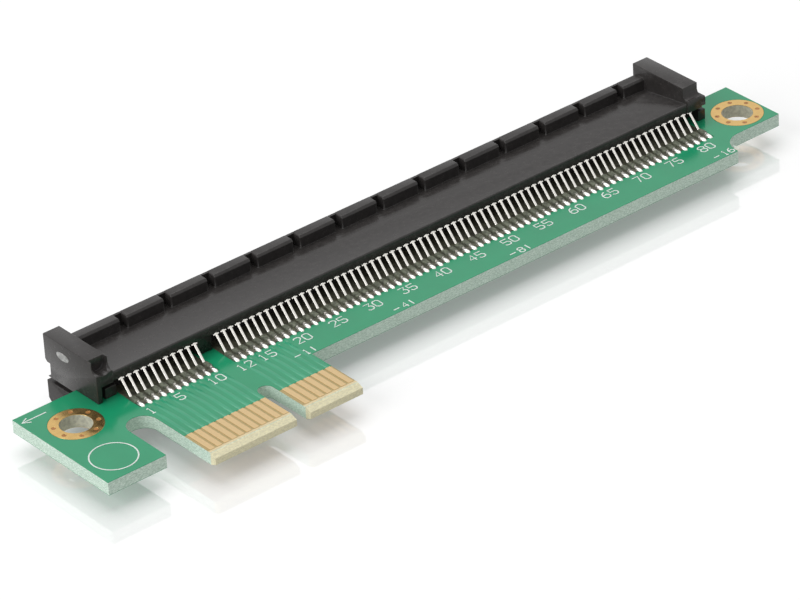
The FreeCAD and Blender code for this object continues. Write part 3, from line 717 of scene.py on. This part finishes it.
def make_hole_linings(settings):
    """Smeared walls of the two drilled holes."""
    tubes = []
    for node_name in ("left_land_top", "right_land_top"):
        low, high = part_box(node_name)
        x, y = (low.x + high.x) / 2, (low.y + high.y) / 2
        radius = hole_radius()
        tubes.append(plate_with_holes(
            "tube", (x, y, radius - 0.001 * MM, 72), [(x, y, radius - settings.lining, 72)],
            CORE_LOW.z, CORE_HIGH.z, 0.002 * MM,
        ))
    finish_piece("hole_walls", join_meshes("hole_walls", tubes), "drilled")


# Copper traces -----------------------------------------------------------------------


def add_ridge(vertices, faces, x, start, end, width, base, rise, slope):
    """Low straight ridge with sloping sides and ends."""
    first = len(vertices)
    for inset, z in ((0.0, base), (slope, base + rise)):
        half = width / 2 - inset
        vertices.extend([
            (x - half, start + inset, z), (x + half, start + inset, z),
            (x + half, end - inset, z), (x - half, end - inset, z),
        ])
    faces.append(tuple(first + corner for corner in (3, 2, 1, 0)))
    faces.append(tuple(first + corner for corner in (4, 5, 6, 7)))
    faces.extend(band(first, first + 4, 4))


def make_traces(settings):
    """Mask standing proud over the traces from the soldered pads to the fingers."""
    for side, up in (("top", 1.0), ("bottom", -1.0)):
        vertices, faces = [], []
        base = BOARD_TOP if up > 0 else BOARD_BOTTOM
        for group in ("short", "long"):
            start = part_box(f"{group}_fingers_{side}")[1].y
            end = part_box(f"{group}_pads_{side}")[0].y - settings.trace_gap
            for x in row_places(f"{group}_fingers_{side}", settings.pitch):
                add_ridge(
                    vertices, faces, x + settings.trace_shift, start, end, settings.trace_width,
                    base, up * settings.trace_rise, settings.trace_slope,
                )
        mesh = mesh_from(f"traces_{side}", vertices, faces)
        finish_piece(f"traces_{side}", mesh, "mask_ridge", sharp=60.0)


# Solder ------------------------------------------------------------------------------


def round_off(share, power):
    """Height of a rounded form at a share of its half width, from 1 down to 0 at the rim."""
    return max(1.0 - abs(share) ** power, 0.0) ** (1.0 / power)


def add_mound(vertices, faces, middle, size, base, rise, power):
    """Closed low mound on the board; a small power is a drop, a large one a flat film."""
    columns, rows = 8, 14
    first = len(vertices)
    for row in range(rows + 1):
        along = math.sin((row / rows - 0.5) * math.pi)
        reach = max(round_off(along, power), 0.16)
        for column in range(columns + 1):
            across = math.sin((column / columns - 0.5) * math.pi)
            on_rim = row in (0, rows) or column in (0, columns)
            lift = 0.0 if on_rim else rise * round_off(along, power) * round_off(across, power)
            vertices.append((
                middle.x + across * reach * size[0] / 2, middle.y + along * size[1] / 2, base + lift,
            ))
    stride = columns + 1
    for row in range(rows):
        for column in range(columns):
            corner = first + row * stride + column
            faces.append((corner, corner + 1, corner + stride + 1, corner + stride))
    rim = [first + column for column in range(stride)]
    rim += [first + row * stride + columns for row in range(1, rows + 1)]
    rim += [first + rows * stride + column for column in range(columns - 1, -1, -1)]
    rim += [first + row * stride for row in range(rows - 1, 0, -1)]
    faces.append(tuple(rim))


def make_bare_row(settings, group):
    """Bare laminate between the feet of one contact group, back to under the housing; its dark colour is
    partly painted shade from the housing's shelf and the strips.
    """
    low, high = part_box(f"{group}_pads_top")
    start, end = low.y + settings.row_from, FAR_EDGE - settings.row_back
    width = high.x - low.x + 2 * settings.row_side
    vertices, faces = [], []
    add_ridge(
        vertices, faces, (low.x + high.x) / 2, start, end, width,
        BOARD_TOP, settings.row_rise, settings.row_rise,
    )
    finish_piece(f"{group}_bare_strip_and_painted_shade", mesh_from("bare_strip_and_painted_shade", vertices, faces), "bare")


def make_pads(settings, node_name, up):
    """One group of soldered pads: a dark film round each foot, partly flux and partly painted shade, and a
    drop at its end.
    """
    low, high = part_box(node_name)
    vertices, faces, film_vertices, film_faces = [], [], [], []
    base = low.z if up > 0 else high.z
    toe = low.y - settings.drop_ahead
    for x in row_places(node_name, settings.pitch):
        uneven = 1.0 + 0.12 * noise.noise(Vector((x / MM, up, 0.0)))
        film_from, film_to = toe + settings.drop_length * 0.82, high.y - settings.film_end
        film = Vector((x, (film_from + film_to) / 2))
        film_size = (settings.width, film_to - film_from)
        add_mound(film_vertices, film_faces, film, film_size, base, up * settings.film, 6.0)
        drop = Vector((x, toe + settings.drop_length / 2 + (uneven - 1.0) * MM))
        size = (settings.drop_width * uneven, settings.drop_length)
        add_mound(vertices, faces, drop, size, base, up * (high.z - low.z) / 1.12 * uneven, 2.3)
    mesh = mesh_from(f"{node_name}_solder", vertices, faces)
    finish_piece(
        f"{node_name}_solder", mesh, "solder", replaces=(node_name,), sharp=60.0
    )
    mesh = mesh_from(f"{node_name}_flux", film_vertices, film_faces)
    finish_piece(f"{node_name}_flux", mesh, "flux", sharp=60.0)


# Contacts ----------------------------------------------------------------------------


def with_shoulders(settings, corners):
    """Stations of a strip with a wide bar just below its second bend."""
    path = rounded_path(corners, settings.bend_radius)
    knee, bend = Vector(corners[1]), Vector(corners[2])
    slope = (bend - knee).normalized()
    reach = settings.bend_radius * math.tan((math.pi - (knee - bend).angle(Vector(corners[3]) - bend)) / 2)
    top = bend - slope * reach
    bottom = top - slope * settings.shoulder_length
    step = slope * 0.004 * MM
    bar = [
        (bottom - step, settings.width), (bottom, settings.shoulder_width),
        (top - step, settings.shoulder_width), (top, settings.width),
    ]
    stations = []
    placed = False
    for point in path:
        if not placed and (point - top).length < 1e-7:
            stations += bar
            placed = True
            continue
        stations.append((point, settings.width))
    if not placed:
        raise RuntimeError("the shoulders of a contact found no bend")
    return stations


def lower_corners(settings, foot_end, foot_height):
    """Corners of a lower contact's middle line."""
    return [
        (foot_end, foot_height),
        (FAR_EDGE - settings.bend, foot_height),
        (FAR_EDGE + settings.bow, BOARD_TOP + settings.bow_lower),
        (FAR_EDGE + settings.tip, BOARD_TOP + settings.bow_lower - settings.tip_rise),
    ]


def upper_corners(settings, foot_end, foot_height):
    """Corners of an upper contact's middle line."""
    return [
        (foot_end, foot_height),
        (FAR_EDGE - settings.knee, foot_height),
        (FAR_EDGE - settings.exit, BOARD_TOP + settings.exit_height),
        (FAR_EDGE + settings.bow, BOARD_TOP + settings.bow_upper),
        (FAR_EDGE + settings.tip, BOARD_TOP + settings.bow_upper + settings.tip_rise),
    ]


def make_contact_row(settings, node_name):
    """One row of bent contacts."""
    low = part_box(node_name)[0]
    foot = low.z + settings.thickness / 2
    if "upper" in node_name:
        stations = with_shoulders(settings, upper_corners(settings, low.y, foot))
    else:
        path = rounded_path(lower_corners(settings, low.y, foot), settings.bend_radius)
        stations = [(point, settings.width) for point in path]
    vertices, faces = [], []
    for x in row_places(node_name, settings.pitch):
        add_strip(vertices, faces, x, stations, settings.thickness, settings.edge)
    mesh = mesh_from(f"{node_name}_strips", vertices, faces)
    finish_piece(f"{node_name}_strips", mesh, "tin", replaces=(node_name,))


# Housing -----------------------------------------------------------------------------


def rim_edge(edge, box_low, box_high):
    """Whether an edge is an upright corner of a rim block."""
    first, second = (vertex.co for vertex in edge.verts)
    if abs(first.x - second.x) > 1e-6:
        return False
    inside = box_low.x + 3.0 * MM < first.x < box_high.x - 3.5 * MM
    ahead = min(first.y, second.y) > FAR_EDGE + 3.0 * MM
    outer = max(first.z, second.z) > 7.2 * MM or min(first.z, second.z) < 1.2 * MM
    return inside and ahead and outer


def settle_rim(shape, settings):
    """Let the upper wall fall towards the rim and set the upper rim's blocks a little lower."""
    low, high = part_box("connector_housing")
    wall, near, inside = settings.wall_top, FAR_EDGE - settings.wall_near, FAR_EDGE + settings.rim_inside
    everything = list(shape.verts) + list(shape.edges) + list(shape.faces)
    bmesh.ops.bisect_plane(
        shape, geom=everything, dist=0.0005 * MM, plane_co=(0.0, inside, 0.0), plane_no=(0.0, 1.0, 0.0)
    )
    start, end = low.x + settings.ear_left - 0.01 * MM, high.x - settings.ear_right + 0.01 * MM
    for vertex in shape.verts:
        x, y, z = vertex.co
        if not start < x < end or z > high.z - 0.5 * MM:
            continue
        if abs(z - wall) < 0.02 * MM and y > near:
            share = min((y - near) / (inside - near), 1.0)
            vertex.co.z = wall - share * settings.wall_fall
        elif z > wall and y > inside - 0.1 * MM:
            vertex.co.z = z - settings.rim_drop
        if abs(y - inside) < settings.rim_round and z > wall - settings.wall_fall - 0.1 * MM:
            vertex.co.y = y - settings.rim_ahead


def make_rim_lip(settings):
    """Narrow band that joins the upper rim's blocks along the mating face."""
    low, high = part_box("connector_housing")
    front, top = high.y - 0.05 * MM, settings.wall_top + settings.lip_rise
    section = [
        (front - settings.lip_width, settings.wall_top - settings.wall_fall - 0.2 * MM),
        (front - settings.lip_width, top), (front - settings.lip_bevel, top),
        (front, top - settings.lip_bevel), (front, settings.wall_top - settings.wall_fall - 0.2 * MM),
    ]
    ends = (low.x + settings.ear_left, high.x - settings.ear_right)
    mesh = prism("rim_lip", lambda x: [(x, y, z) for y, z in section], ends)
    finish_piece("rim_lip", mesh, "plastic")


def cut_hollow(draft, settings):
    """Round-bottomed hollow in the near face of the left ear, open at its top."""
    low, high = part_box("connector_housing")
    x, z, radius = low.x + settings.hollow_x, settings.hollow_z, settings.hollow_radius
    section = [(x + radius, high.z + MM), (x - radius, high.z + MM)]
    section += [
        (x - radius * math.cos(turn), z - radius * math.sin(turn))
        for turn in (math.pi * step / 16 for step in range(17))
    ]
    ends = (low.y, FAR_EDGE - settings.hollow_back)
    block = prism("hollow_cutter", lambda y: [(u, y, w) for u, w in section], ends)
    cutter = draft_of("hollow_cutter", block)
    cut = draft.modifiers.new("hollow", "BOOLEAN")
    cut.operation = "DIFFERENCE"
    cut.solver = "EXACT"
    cut.object = cutter
    shaped = mesh_of_draft(draft)
    bpy.data.objects.remove(cutter)
    return shaped


def make_housing(settings):
    """Slot housing with its moulded edges broken."""
    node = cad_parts["connector_housing"]
    low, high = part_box("connector_housing")
    shape = bmesh.new()
    shape.from_mesh(node.data)
    bmesh.ops.remove_doubles(shape, verts=shape.verts, dist=0.0005 * MM)
    settle_rim(shape, settings)
    draft = draft_of("housing_draft", mesh_of("housing", shape))
    shape = bmesh.new()
    shape.from_mesh(cut_hollow(draft, settings))
    bmesh.ops.remove_doubles(shape, verts=shape.verts, dist=0.0005 * MM)
    bmesh.ops.dissolve_limit(
        shape, angle_limit=math.radians(1.0), verts=shape.verts, edges=shape.edges
    )
    weights = shape.edges.layers.float.new("bevel_weight_edge")
    small = settings.edge / settings.block_edge
    for edge in shape.edges:
        if not edge.is_manifold or edge.calc_face_angle() < math.radians(20.0):
            continue
        middle = (edge.verts[0].co + edge.verts[1].co) / 2
        # Edges in the board's slot, and the thin ledge over the end groove, stay sharp.
        in_board_slot = (
            BOARD_BOTTOM - 0.4 * MM < middle.z < BOARD_TOP + 0.1 * MM and middle.y < FAR_EDGE + 0.2 * MM
        )
        end_ledge = 3.4 * MM < middle.z < 3.6 * MM and middle.y > FAR_EDGE + 2.0 * MM
        if in_board_slot or end_ledge:
            continue
        edge[weights] = 1.0 if rim_edge(edge, low, high) else small
    draft = draft_of("housing_draft", mesh_of("housing", shape))
    bevel = draft.modifiers.new("moulded_edges", "BEVEL")
    bevel.limit_method = "WEIGHT"
    bevel.width = settings.block_edge
    bevel.segments = 3
    bevel.use_clamp_overlap = False
    shaped = mesh_of_draft(draft)
    shaped.materials.clear()
    finish_piece(
        "slot_housing", shaped, "plastic", replaces=("connector_housing",)
    )


def make_gate_mark(settings):
    """Low oval scar on the left end face, where the runner was cut off."""
    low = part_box("connector_housing")[0]
    count, proud = 40, 0.03 * MM
    vertices, faces = [], []
    levels = ((0.0, 1.0), (0.6, 1.0), (1.0, 0.9), (1.0, 0.5))
    for lift, share in levels:
        for step in range(count):
            turn = 2 * math.pi * step / count
            ragged = 1.0 + 0.06 * noise.noise(Vector((math.cos(turn) * 2, math.sin(turn) * 2, share)))
            vertices.append((
                low.x - lift * proud,
                settings.gate_y + math.cos(turn) * share * ragged * settings.gate_length / 2,
                settings.gate_z + math.sin(turn) * share * ragged * settings.gate_height / 2,
            ))
    for level in range(len(levels) - 1):
        faces.extend(band(level * count, (level + 1) * count, count))
    faces.append(tuple(range(count)))
    faces.append(tuple(range((len(levels) - 1) * count, len(levels) * count)))
    mesh = mesh_from("gate_mark", vertices, faces)
    finish_piece("gate_mark", mesh, "gate")


# Printed legend ----------------------------------------------------------------------

# Strokes of the plain digits on a grid four wide and six high.
DIGITS = {
    "0": [[(1, 0), (3, 0), (4, 1), (4, 5), (3, 6), (1, 6), (0, 5), (0, 1), (1, 0)]],
    "1": [[(1, 5), (2, 6), (2, 0)], [(1, 0), (3, 0)]],
    "2": [[(0, 5), (1, 6), (3, 6), (4, 5), (4, 4), (0, 0), (4, 0)]],
    "3": [[(0, 6), (4, 6), (2, 3.6), (3, 3.6), (4, 2.6), (4, 1), (3, 0), (1, 0), (0, 1)]],
    "4": [[(3, 0), (3, 6), (0, 2), (4, 2)]],
    "5": [[(4, 6), (0, 6), (0, 3.4), (3, 3.4), (4, 2.4), (4, 1), (3, 0), (1, 0), (0, 1)]],
    "6": [[(3, 6), (1, 5), (0, 3), (0, 1), (1, 0), (3, 0), (4, 1), (4, 2.4), (3, 3.4), (0, 3)]],
    "7": [[(0, 6), (4, 6), (1.5, 0)]],
    "8": [[(1, 3.2), (0, 4.2), (0, 5), (1, 6), (3, 6), (4, 5), (4, 4.2), (3, 3.2), (1, 3.2),
           (0, 2.2), (0, 1), (1, 0), (3, 0), (4, 1), (4, 2.2), (3, 3.2)]],
    "9": [[(1, 0), (3, 1), (4, 3), (4, 5), (3, 6), (1, 6), (0, 5), (0, 3.8), (1, 2.8), (4, 3)]],
}


DIGIT_STEP = 5.6
DIGIT_SPACE = 1.6


def number_width(text, height):
    """Width of a printed number of the given height."""
    return (len(text) * DIGIT_STEP - DIGIT_SPACE) * height / 6


def number_strokes(text, x, y, height):
    """Strokes of a number whose lower left corner is at x, y; it reads along +X."""
    unit = height / 6
    strokes = []
    for place, digit in enumerate(text):
        left = x + place * DIGIT_STEP * unit
        for stroke in DIGITS[digit]:
            strokes.append([(left + u * unit, y + v * unit) for u, v in stroke])
    return strokes


def arrow_strokes(x, y, reach, head):
    """Arrow that points to -X, with its tip at x, y."""
    return [
        [(x, y), (x + reach, y)],
        [(x + head, y + head * 0.55), (x, y), (x + head, y - head * 0.55)],
    ]


def make_legend(settings):
    """All printed marks as one piece of ink on the mask."""
    pitch = 1.0 * MM
    places = row_places("long_contacts_upper", pitch)
    short = row_places("short_contacts_upper", pitch)
    strokes = arrow_strokes(CORE_LOW.x + 0.35 * MM, FAR_EDGE - 1.3 * MM, 3.2 * MM, 0.9 * MM)
    ring = circle(CORE_LOW.x + 3.56 * MM, FAR_EDGE - 13.41 * MM, 2.66 * MM, 56)
    strokes.append(ring + ring[:1])
    row = FAR_EDGE - 9.6 * MM
    for number, x in enumerate(short + places, start=1):
        if number % 5 == 0 or number in (1, 12):
            text = str(number)
            left = x - number_width(text, settings.digit) / 2
            strokes += number_strokes(text, left, row, settings.digit)
    for number, lane_end in (("1", 7), ("4", 21), ("8", 38), ("16", 70)):
        x = places[lane_end] + pitch / 2
        near = FAR_EDGE - 11.9 * MM
        width = number_width(number, 1.0 * MM)
        strokes += number_strokes(number, x - width - 0.6 * MM, near, 1.0 * MM)
        strokes.append([(x - width - 1.9 * MM, near + 0.5 * MM), (x - width - 1.1 * MM, near + 0.5 * MM)])
        strokes.append([(x, near), (x, near + 1.0 * MM)])
    curve = bpy.data.curves.new("legend", "CURVE")
    curve.dimensions = "3D"
    curve.bevel_depth = settings.stroke / 2
    curve.bevel_resolution = 2
    curve.use_fill_caps = True
    for stroke in strokes:
        spline = curve.splines.new("POLY")
        spline.points.add(len(stroke) - 1)
        for point, (u, v) in zip(spline.points, stroke):
            point.co = (u, v, 0.0, 1.0)
    mesh = mesh_of_draft(draft_of("legend_draft", curve))
    flatten = settings.ink / settings.stroke * 2
    for vertex in mesh.vertices:
        vertex.co.z = BOARD_TOP + settings.lift + vertex.co.z * flatten
    finish_piece("printed_legend", mesh, "ink", sharp=50.0)


# Stage -------------------------------------------------------------------------------


def make_floor(settings):
    """Pale floor that keeps the card's shadow and a faint reflection."""
    reach = 2.0
    mesh = bpy.data.meshes.new("floor")
    mesh.from_pydata(
        [(-reach, -reach, 0.0), (reach, -reach, 0.0), (reach, reach, 0.0), (-reach, reach, 0.0)],
        [], [(0, 1, 2, 3)],
    )
    floor = bpy.data.objects.new("floor", mesh)
    bpy.context.scene.collection.objects.link(floor)
    material = bpy.data.materials.new("floor")
    material.use_nodes = True
    nodes, links = material.node_tree.nodes, material.node_tree.links
    shader = nodes["Principled BSDF"]
    shader.inputs["Base Color"].default_value = (0.82, 0.82, 0.82, 1.0)
    shader.inputs["Roughness"].default_value = 0.03
    shader.inputs["IOR"].default_value = 2.2
    shader.inputs["Emission Color"].default_value = (1.0, 1.0, 1.0, 1.0)
    links.new(seen_by_eye(material, settings.lift, 0.0), shader.inputs["Emission Strength"])
    mesh.materials.append(material)


def seen_by_eye(holder, seen, unseen):
    """Strength that camera, glossy and transmission rays see, and another for the rest."""
    nodes, links = holder.node_tree.nodes, holder.node_tree.links
    path = nodes.new("ShaderNodeLightPath")
    total = path.outputs["Is Camera Ray"]
    for name in ("Is Glossy Ray", "Is Transmission Ray"):
        either = nodes.new("ShaderNodeMath")
        either.operation = "MAXIMUM"
        links.new(total, either.inputs[0])
        links.new(path.outputs[name], either.inputs[1])
        total = either.outputs["Value"]
    node = nodes.new("ShaderNodeMapRange")
    node.inputs["To Min"].default_value = unseen
    node.inputs["To Max"].default_value = seen
    links.new(total, node.inputs["Value"])
    return node.outputs["Result"]


def make_world(settings):
    """White room: plain white to the eye, softer as a light."""
    world = bpy.data.worlds.new("white room")
    world.use_nodes = True
    background = world.node_tree.nodes["Background"]
    background.inputs["Color"].default_value = (1.0, 1.0, 1.0, 1.0)
    strength = seen_by_eye(world, 1.0, settings.world)
    world.node_tree.links.new(strength, background.inputs["Strength"])
    bpy.context.scene.world = world


def add_lamp(name, place, target, size, power):
    """Square soft lamp that faces a target."""
    lamp = bpy.data.lights.new(name, "AREA")
    lamp.shape = "SQUARE"
    lamp.size = size
    lamp.energy = power
    holder = bpy.data.objects.new(name, lamp)
    place = Vector(place)
    holder.location = place
    holder.rotation_euler = (Vector(target) - place).to_track_quat("-Z", "Y").to_euler()
    bpy.context.scene.collection.objects.link(holder)


def make_camera(settings):
    """Camera at the viewing angle, turned a little about its own axis."""
    turn, lift, roll = settings.azimuth, settings.elevation, settings.roll
    back = Vector((
        math.sin(turn) * math.cos(lift), -math.cos(turn) * math.cos(lift), math.sin(lift)
    ))
    right = Vector((math.cos(turn), math.sin(turn), 0.0))
    above = back.cross(right)
    side = math.cos(roll) * right + math.sin(roll) * above
    up = -math.sin(roll) * right + math.cos(roll) * above
    place = Vector((settings.look_x, settings.look_y, settings.look_z)) + settings.distance * back
    lens = bpy.data.cameras.new("camera")
    lens.lens = settings.lens
    lens.clip_start = 0.01
    camera = bpy.data.objects.new("camera", lens)
    axes = Matrix((side, up, back)).transposed().to_4x4()
    camera.matrix_world = Matrix.Translation(place) @ axes
    bpy.context.scene.collection.objects.link(camera)
    bpy.context.scene.camera = camera


# Operators ---------------------------------------------------------------------------


class RISER_OT_finishes(bpy.types.Operator):
    """Make every finish of the card"""

    bl_idname = "riser.finishes"
    bl_label = "Finishes"

    def execute(self, context):
        make_materials(context.scene.riser_finish)
        return {"FINISHED"}


class RISER_OT_board(bpy.types.Operator):
    """Dress the laminate, its solder masks and the gold fingers"""

    bl_idname = "riser.board"
    bl_label = "Board"

    def execute(self, context):
        dress("board_core", "laminate")
        dress("solder_mask_top", "mask")
        dress("solder_mask_bottom", "mask")
        for group in ("short", "long"):
            for side in ("top", "bottom"):
                dress(f"{group}_fingers_{side}", "gold")
        make_traces(context.scene.riser_trace)
        return {"FINISHED"}


class RISER_OT_lands(bpy.types.Operator):
    """Make the gold lands with their vias and the drilled holes' walls"""

    bl_idname = "riser.lands"
    bl_label = "Lands and Holes"

    def execute(self, context):
        settings = context.scene.riser_land
        for side in ("left", "right"):
            for face in ("top", "bottom"):
                make_land(settings, f"{side}_land_{face}")
        make_hole_linings(settings)
        return {"FINISHED"}


class RISER_OT_solder(bpy.types.Operator):
    """Make the soldered pads on both faces"""

    bl_idname = "riser.solder"
    bl_label = "Soldered Pads"

    def execute(self, context):
        settings = context.scene.riser_solder
        for group in ("short", "long"):
            make_bare_row(settings, group)
            make_pads(settings, f"{group}_pads_top", 1.0)
            make_pads(settings, f"{group}_pads_bottom", -1.0)
        return {"FINISHED"}


class RISER_OT_contacts(bpy.types.Operator):
    """Make both rows of bent contacts"""

    bl_idname = "riser.contacts"
    bl_label = "Contacts"

    def execute(self, context):
        settings = context.scene.riser_contact
        for group in ("short", "long"):
            for row in ("upper", "lower"):
                make_contact_row(settings, f"{group}_contacts_{row}")
        return {"FINISHED"}


class RISER_OT_housing(bpy.types.Operator):
    """Make the moulded slot housing and its gate mark"""

    bl_idname = "riser.housing"
    bl_label = "Slot Housing"

    def execute(self, context):
        settings = context.scene.riser_housing
        make_housing(settings)
        make_rim_lip(settings)
        make_gate_mark(settings)
        return {"FINISHED"}


class RISER_OT_legend(bpy.types.Operator):
    """Print the arrow, the numbers and their ticks"""

    bl_idname = "riser.legend"
    bl_label = "Printed Legend"

    def execute(self, context):
        make_legend(context.scene.riser_print)
        return {"FINISHED"}


class RISER_OT_stage(bpy.types.Operator):
    """Set up the floor, the room, the lamps and the camera"""

    bl_idname = "riser.stage"
    bl_label = "Stage"

    def execute(self, context):
        settings = context.scene.riser_stage
        make_floor(settings)
        make_world(settings)
        add_lamp("key lamp", (-0.75, 0.05, 0.45), (0.0, 0.0, 0.0), 0.6, settings.key)
        add_lamp("top lamp", (0.05, 0.2, 0.9), (0.0, 0.0, 0.0), 0.9, settings.top)
        make_camera(settings)
        context.scene.view_settings.view_transform = "Standard"
        return {"FINISHED"}


class RISER_PT_panel(bpy.types.Panel):
    """Lists the steps that make the card"""

    bl_idname = "RISER_PT_panel"
    bl_label = "Riser Card"
    bl_space_type = "VIEW_3D"
    bl_region_type = "UI"
    bl_category = "Riser Card"

    def draw(self, context):
        for operator in OPERATORS:
            self.layout.operator(operator.bl_idname)


OPERATORS = (
    RISER_OT_finishes,
    RISER_OT_board,
    RISER_OT_lands,
    RISER_OT_solder,
    RISER_OT_contacts,
    RISER_OT_housing,
    RISER_OT_legend,
    RISER_OT_stage,
)
CLASSES = tuple(SETTINGS.values()) + OPERATORS + (RISER_PT_panel,)


def register():
    """Register the classes and hang the settings on the scene."""
    for item in CLASSES:
        bpy.utils.register_class(item)
    for name, group in SETTINGS.items():
        setattr(bpy.types.Scene, name, PointerProperty(type=group))


def unregister():
    """Take the settings and the classes away again."""
    for name in SETTINGS:
        delattr(bpy.types.Scene, name)
    for item in reversed(CLASSES):
        bpy.utils.unregister_class(item)


def main():
    """Run every step in order."""
    register()
    for operator in OPERATORS:
        family, name = operator.bl_idname.split(".")
        getattr(getattr(bpy.ops, family), name)()


if __name__ == "__main__":
    main()
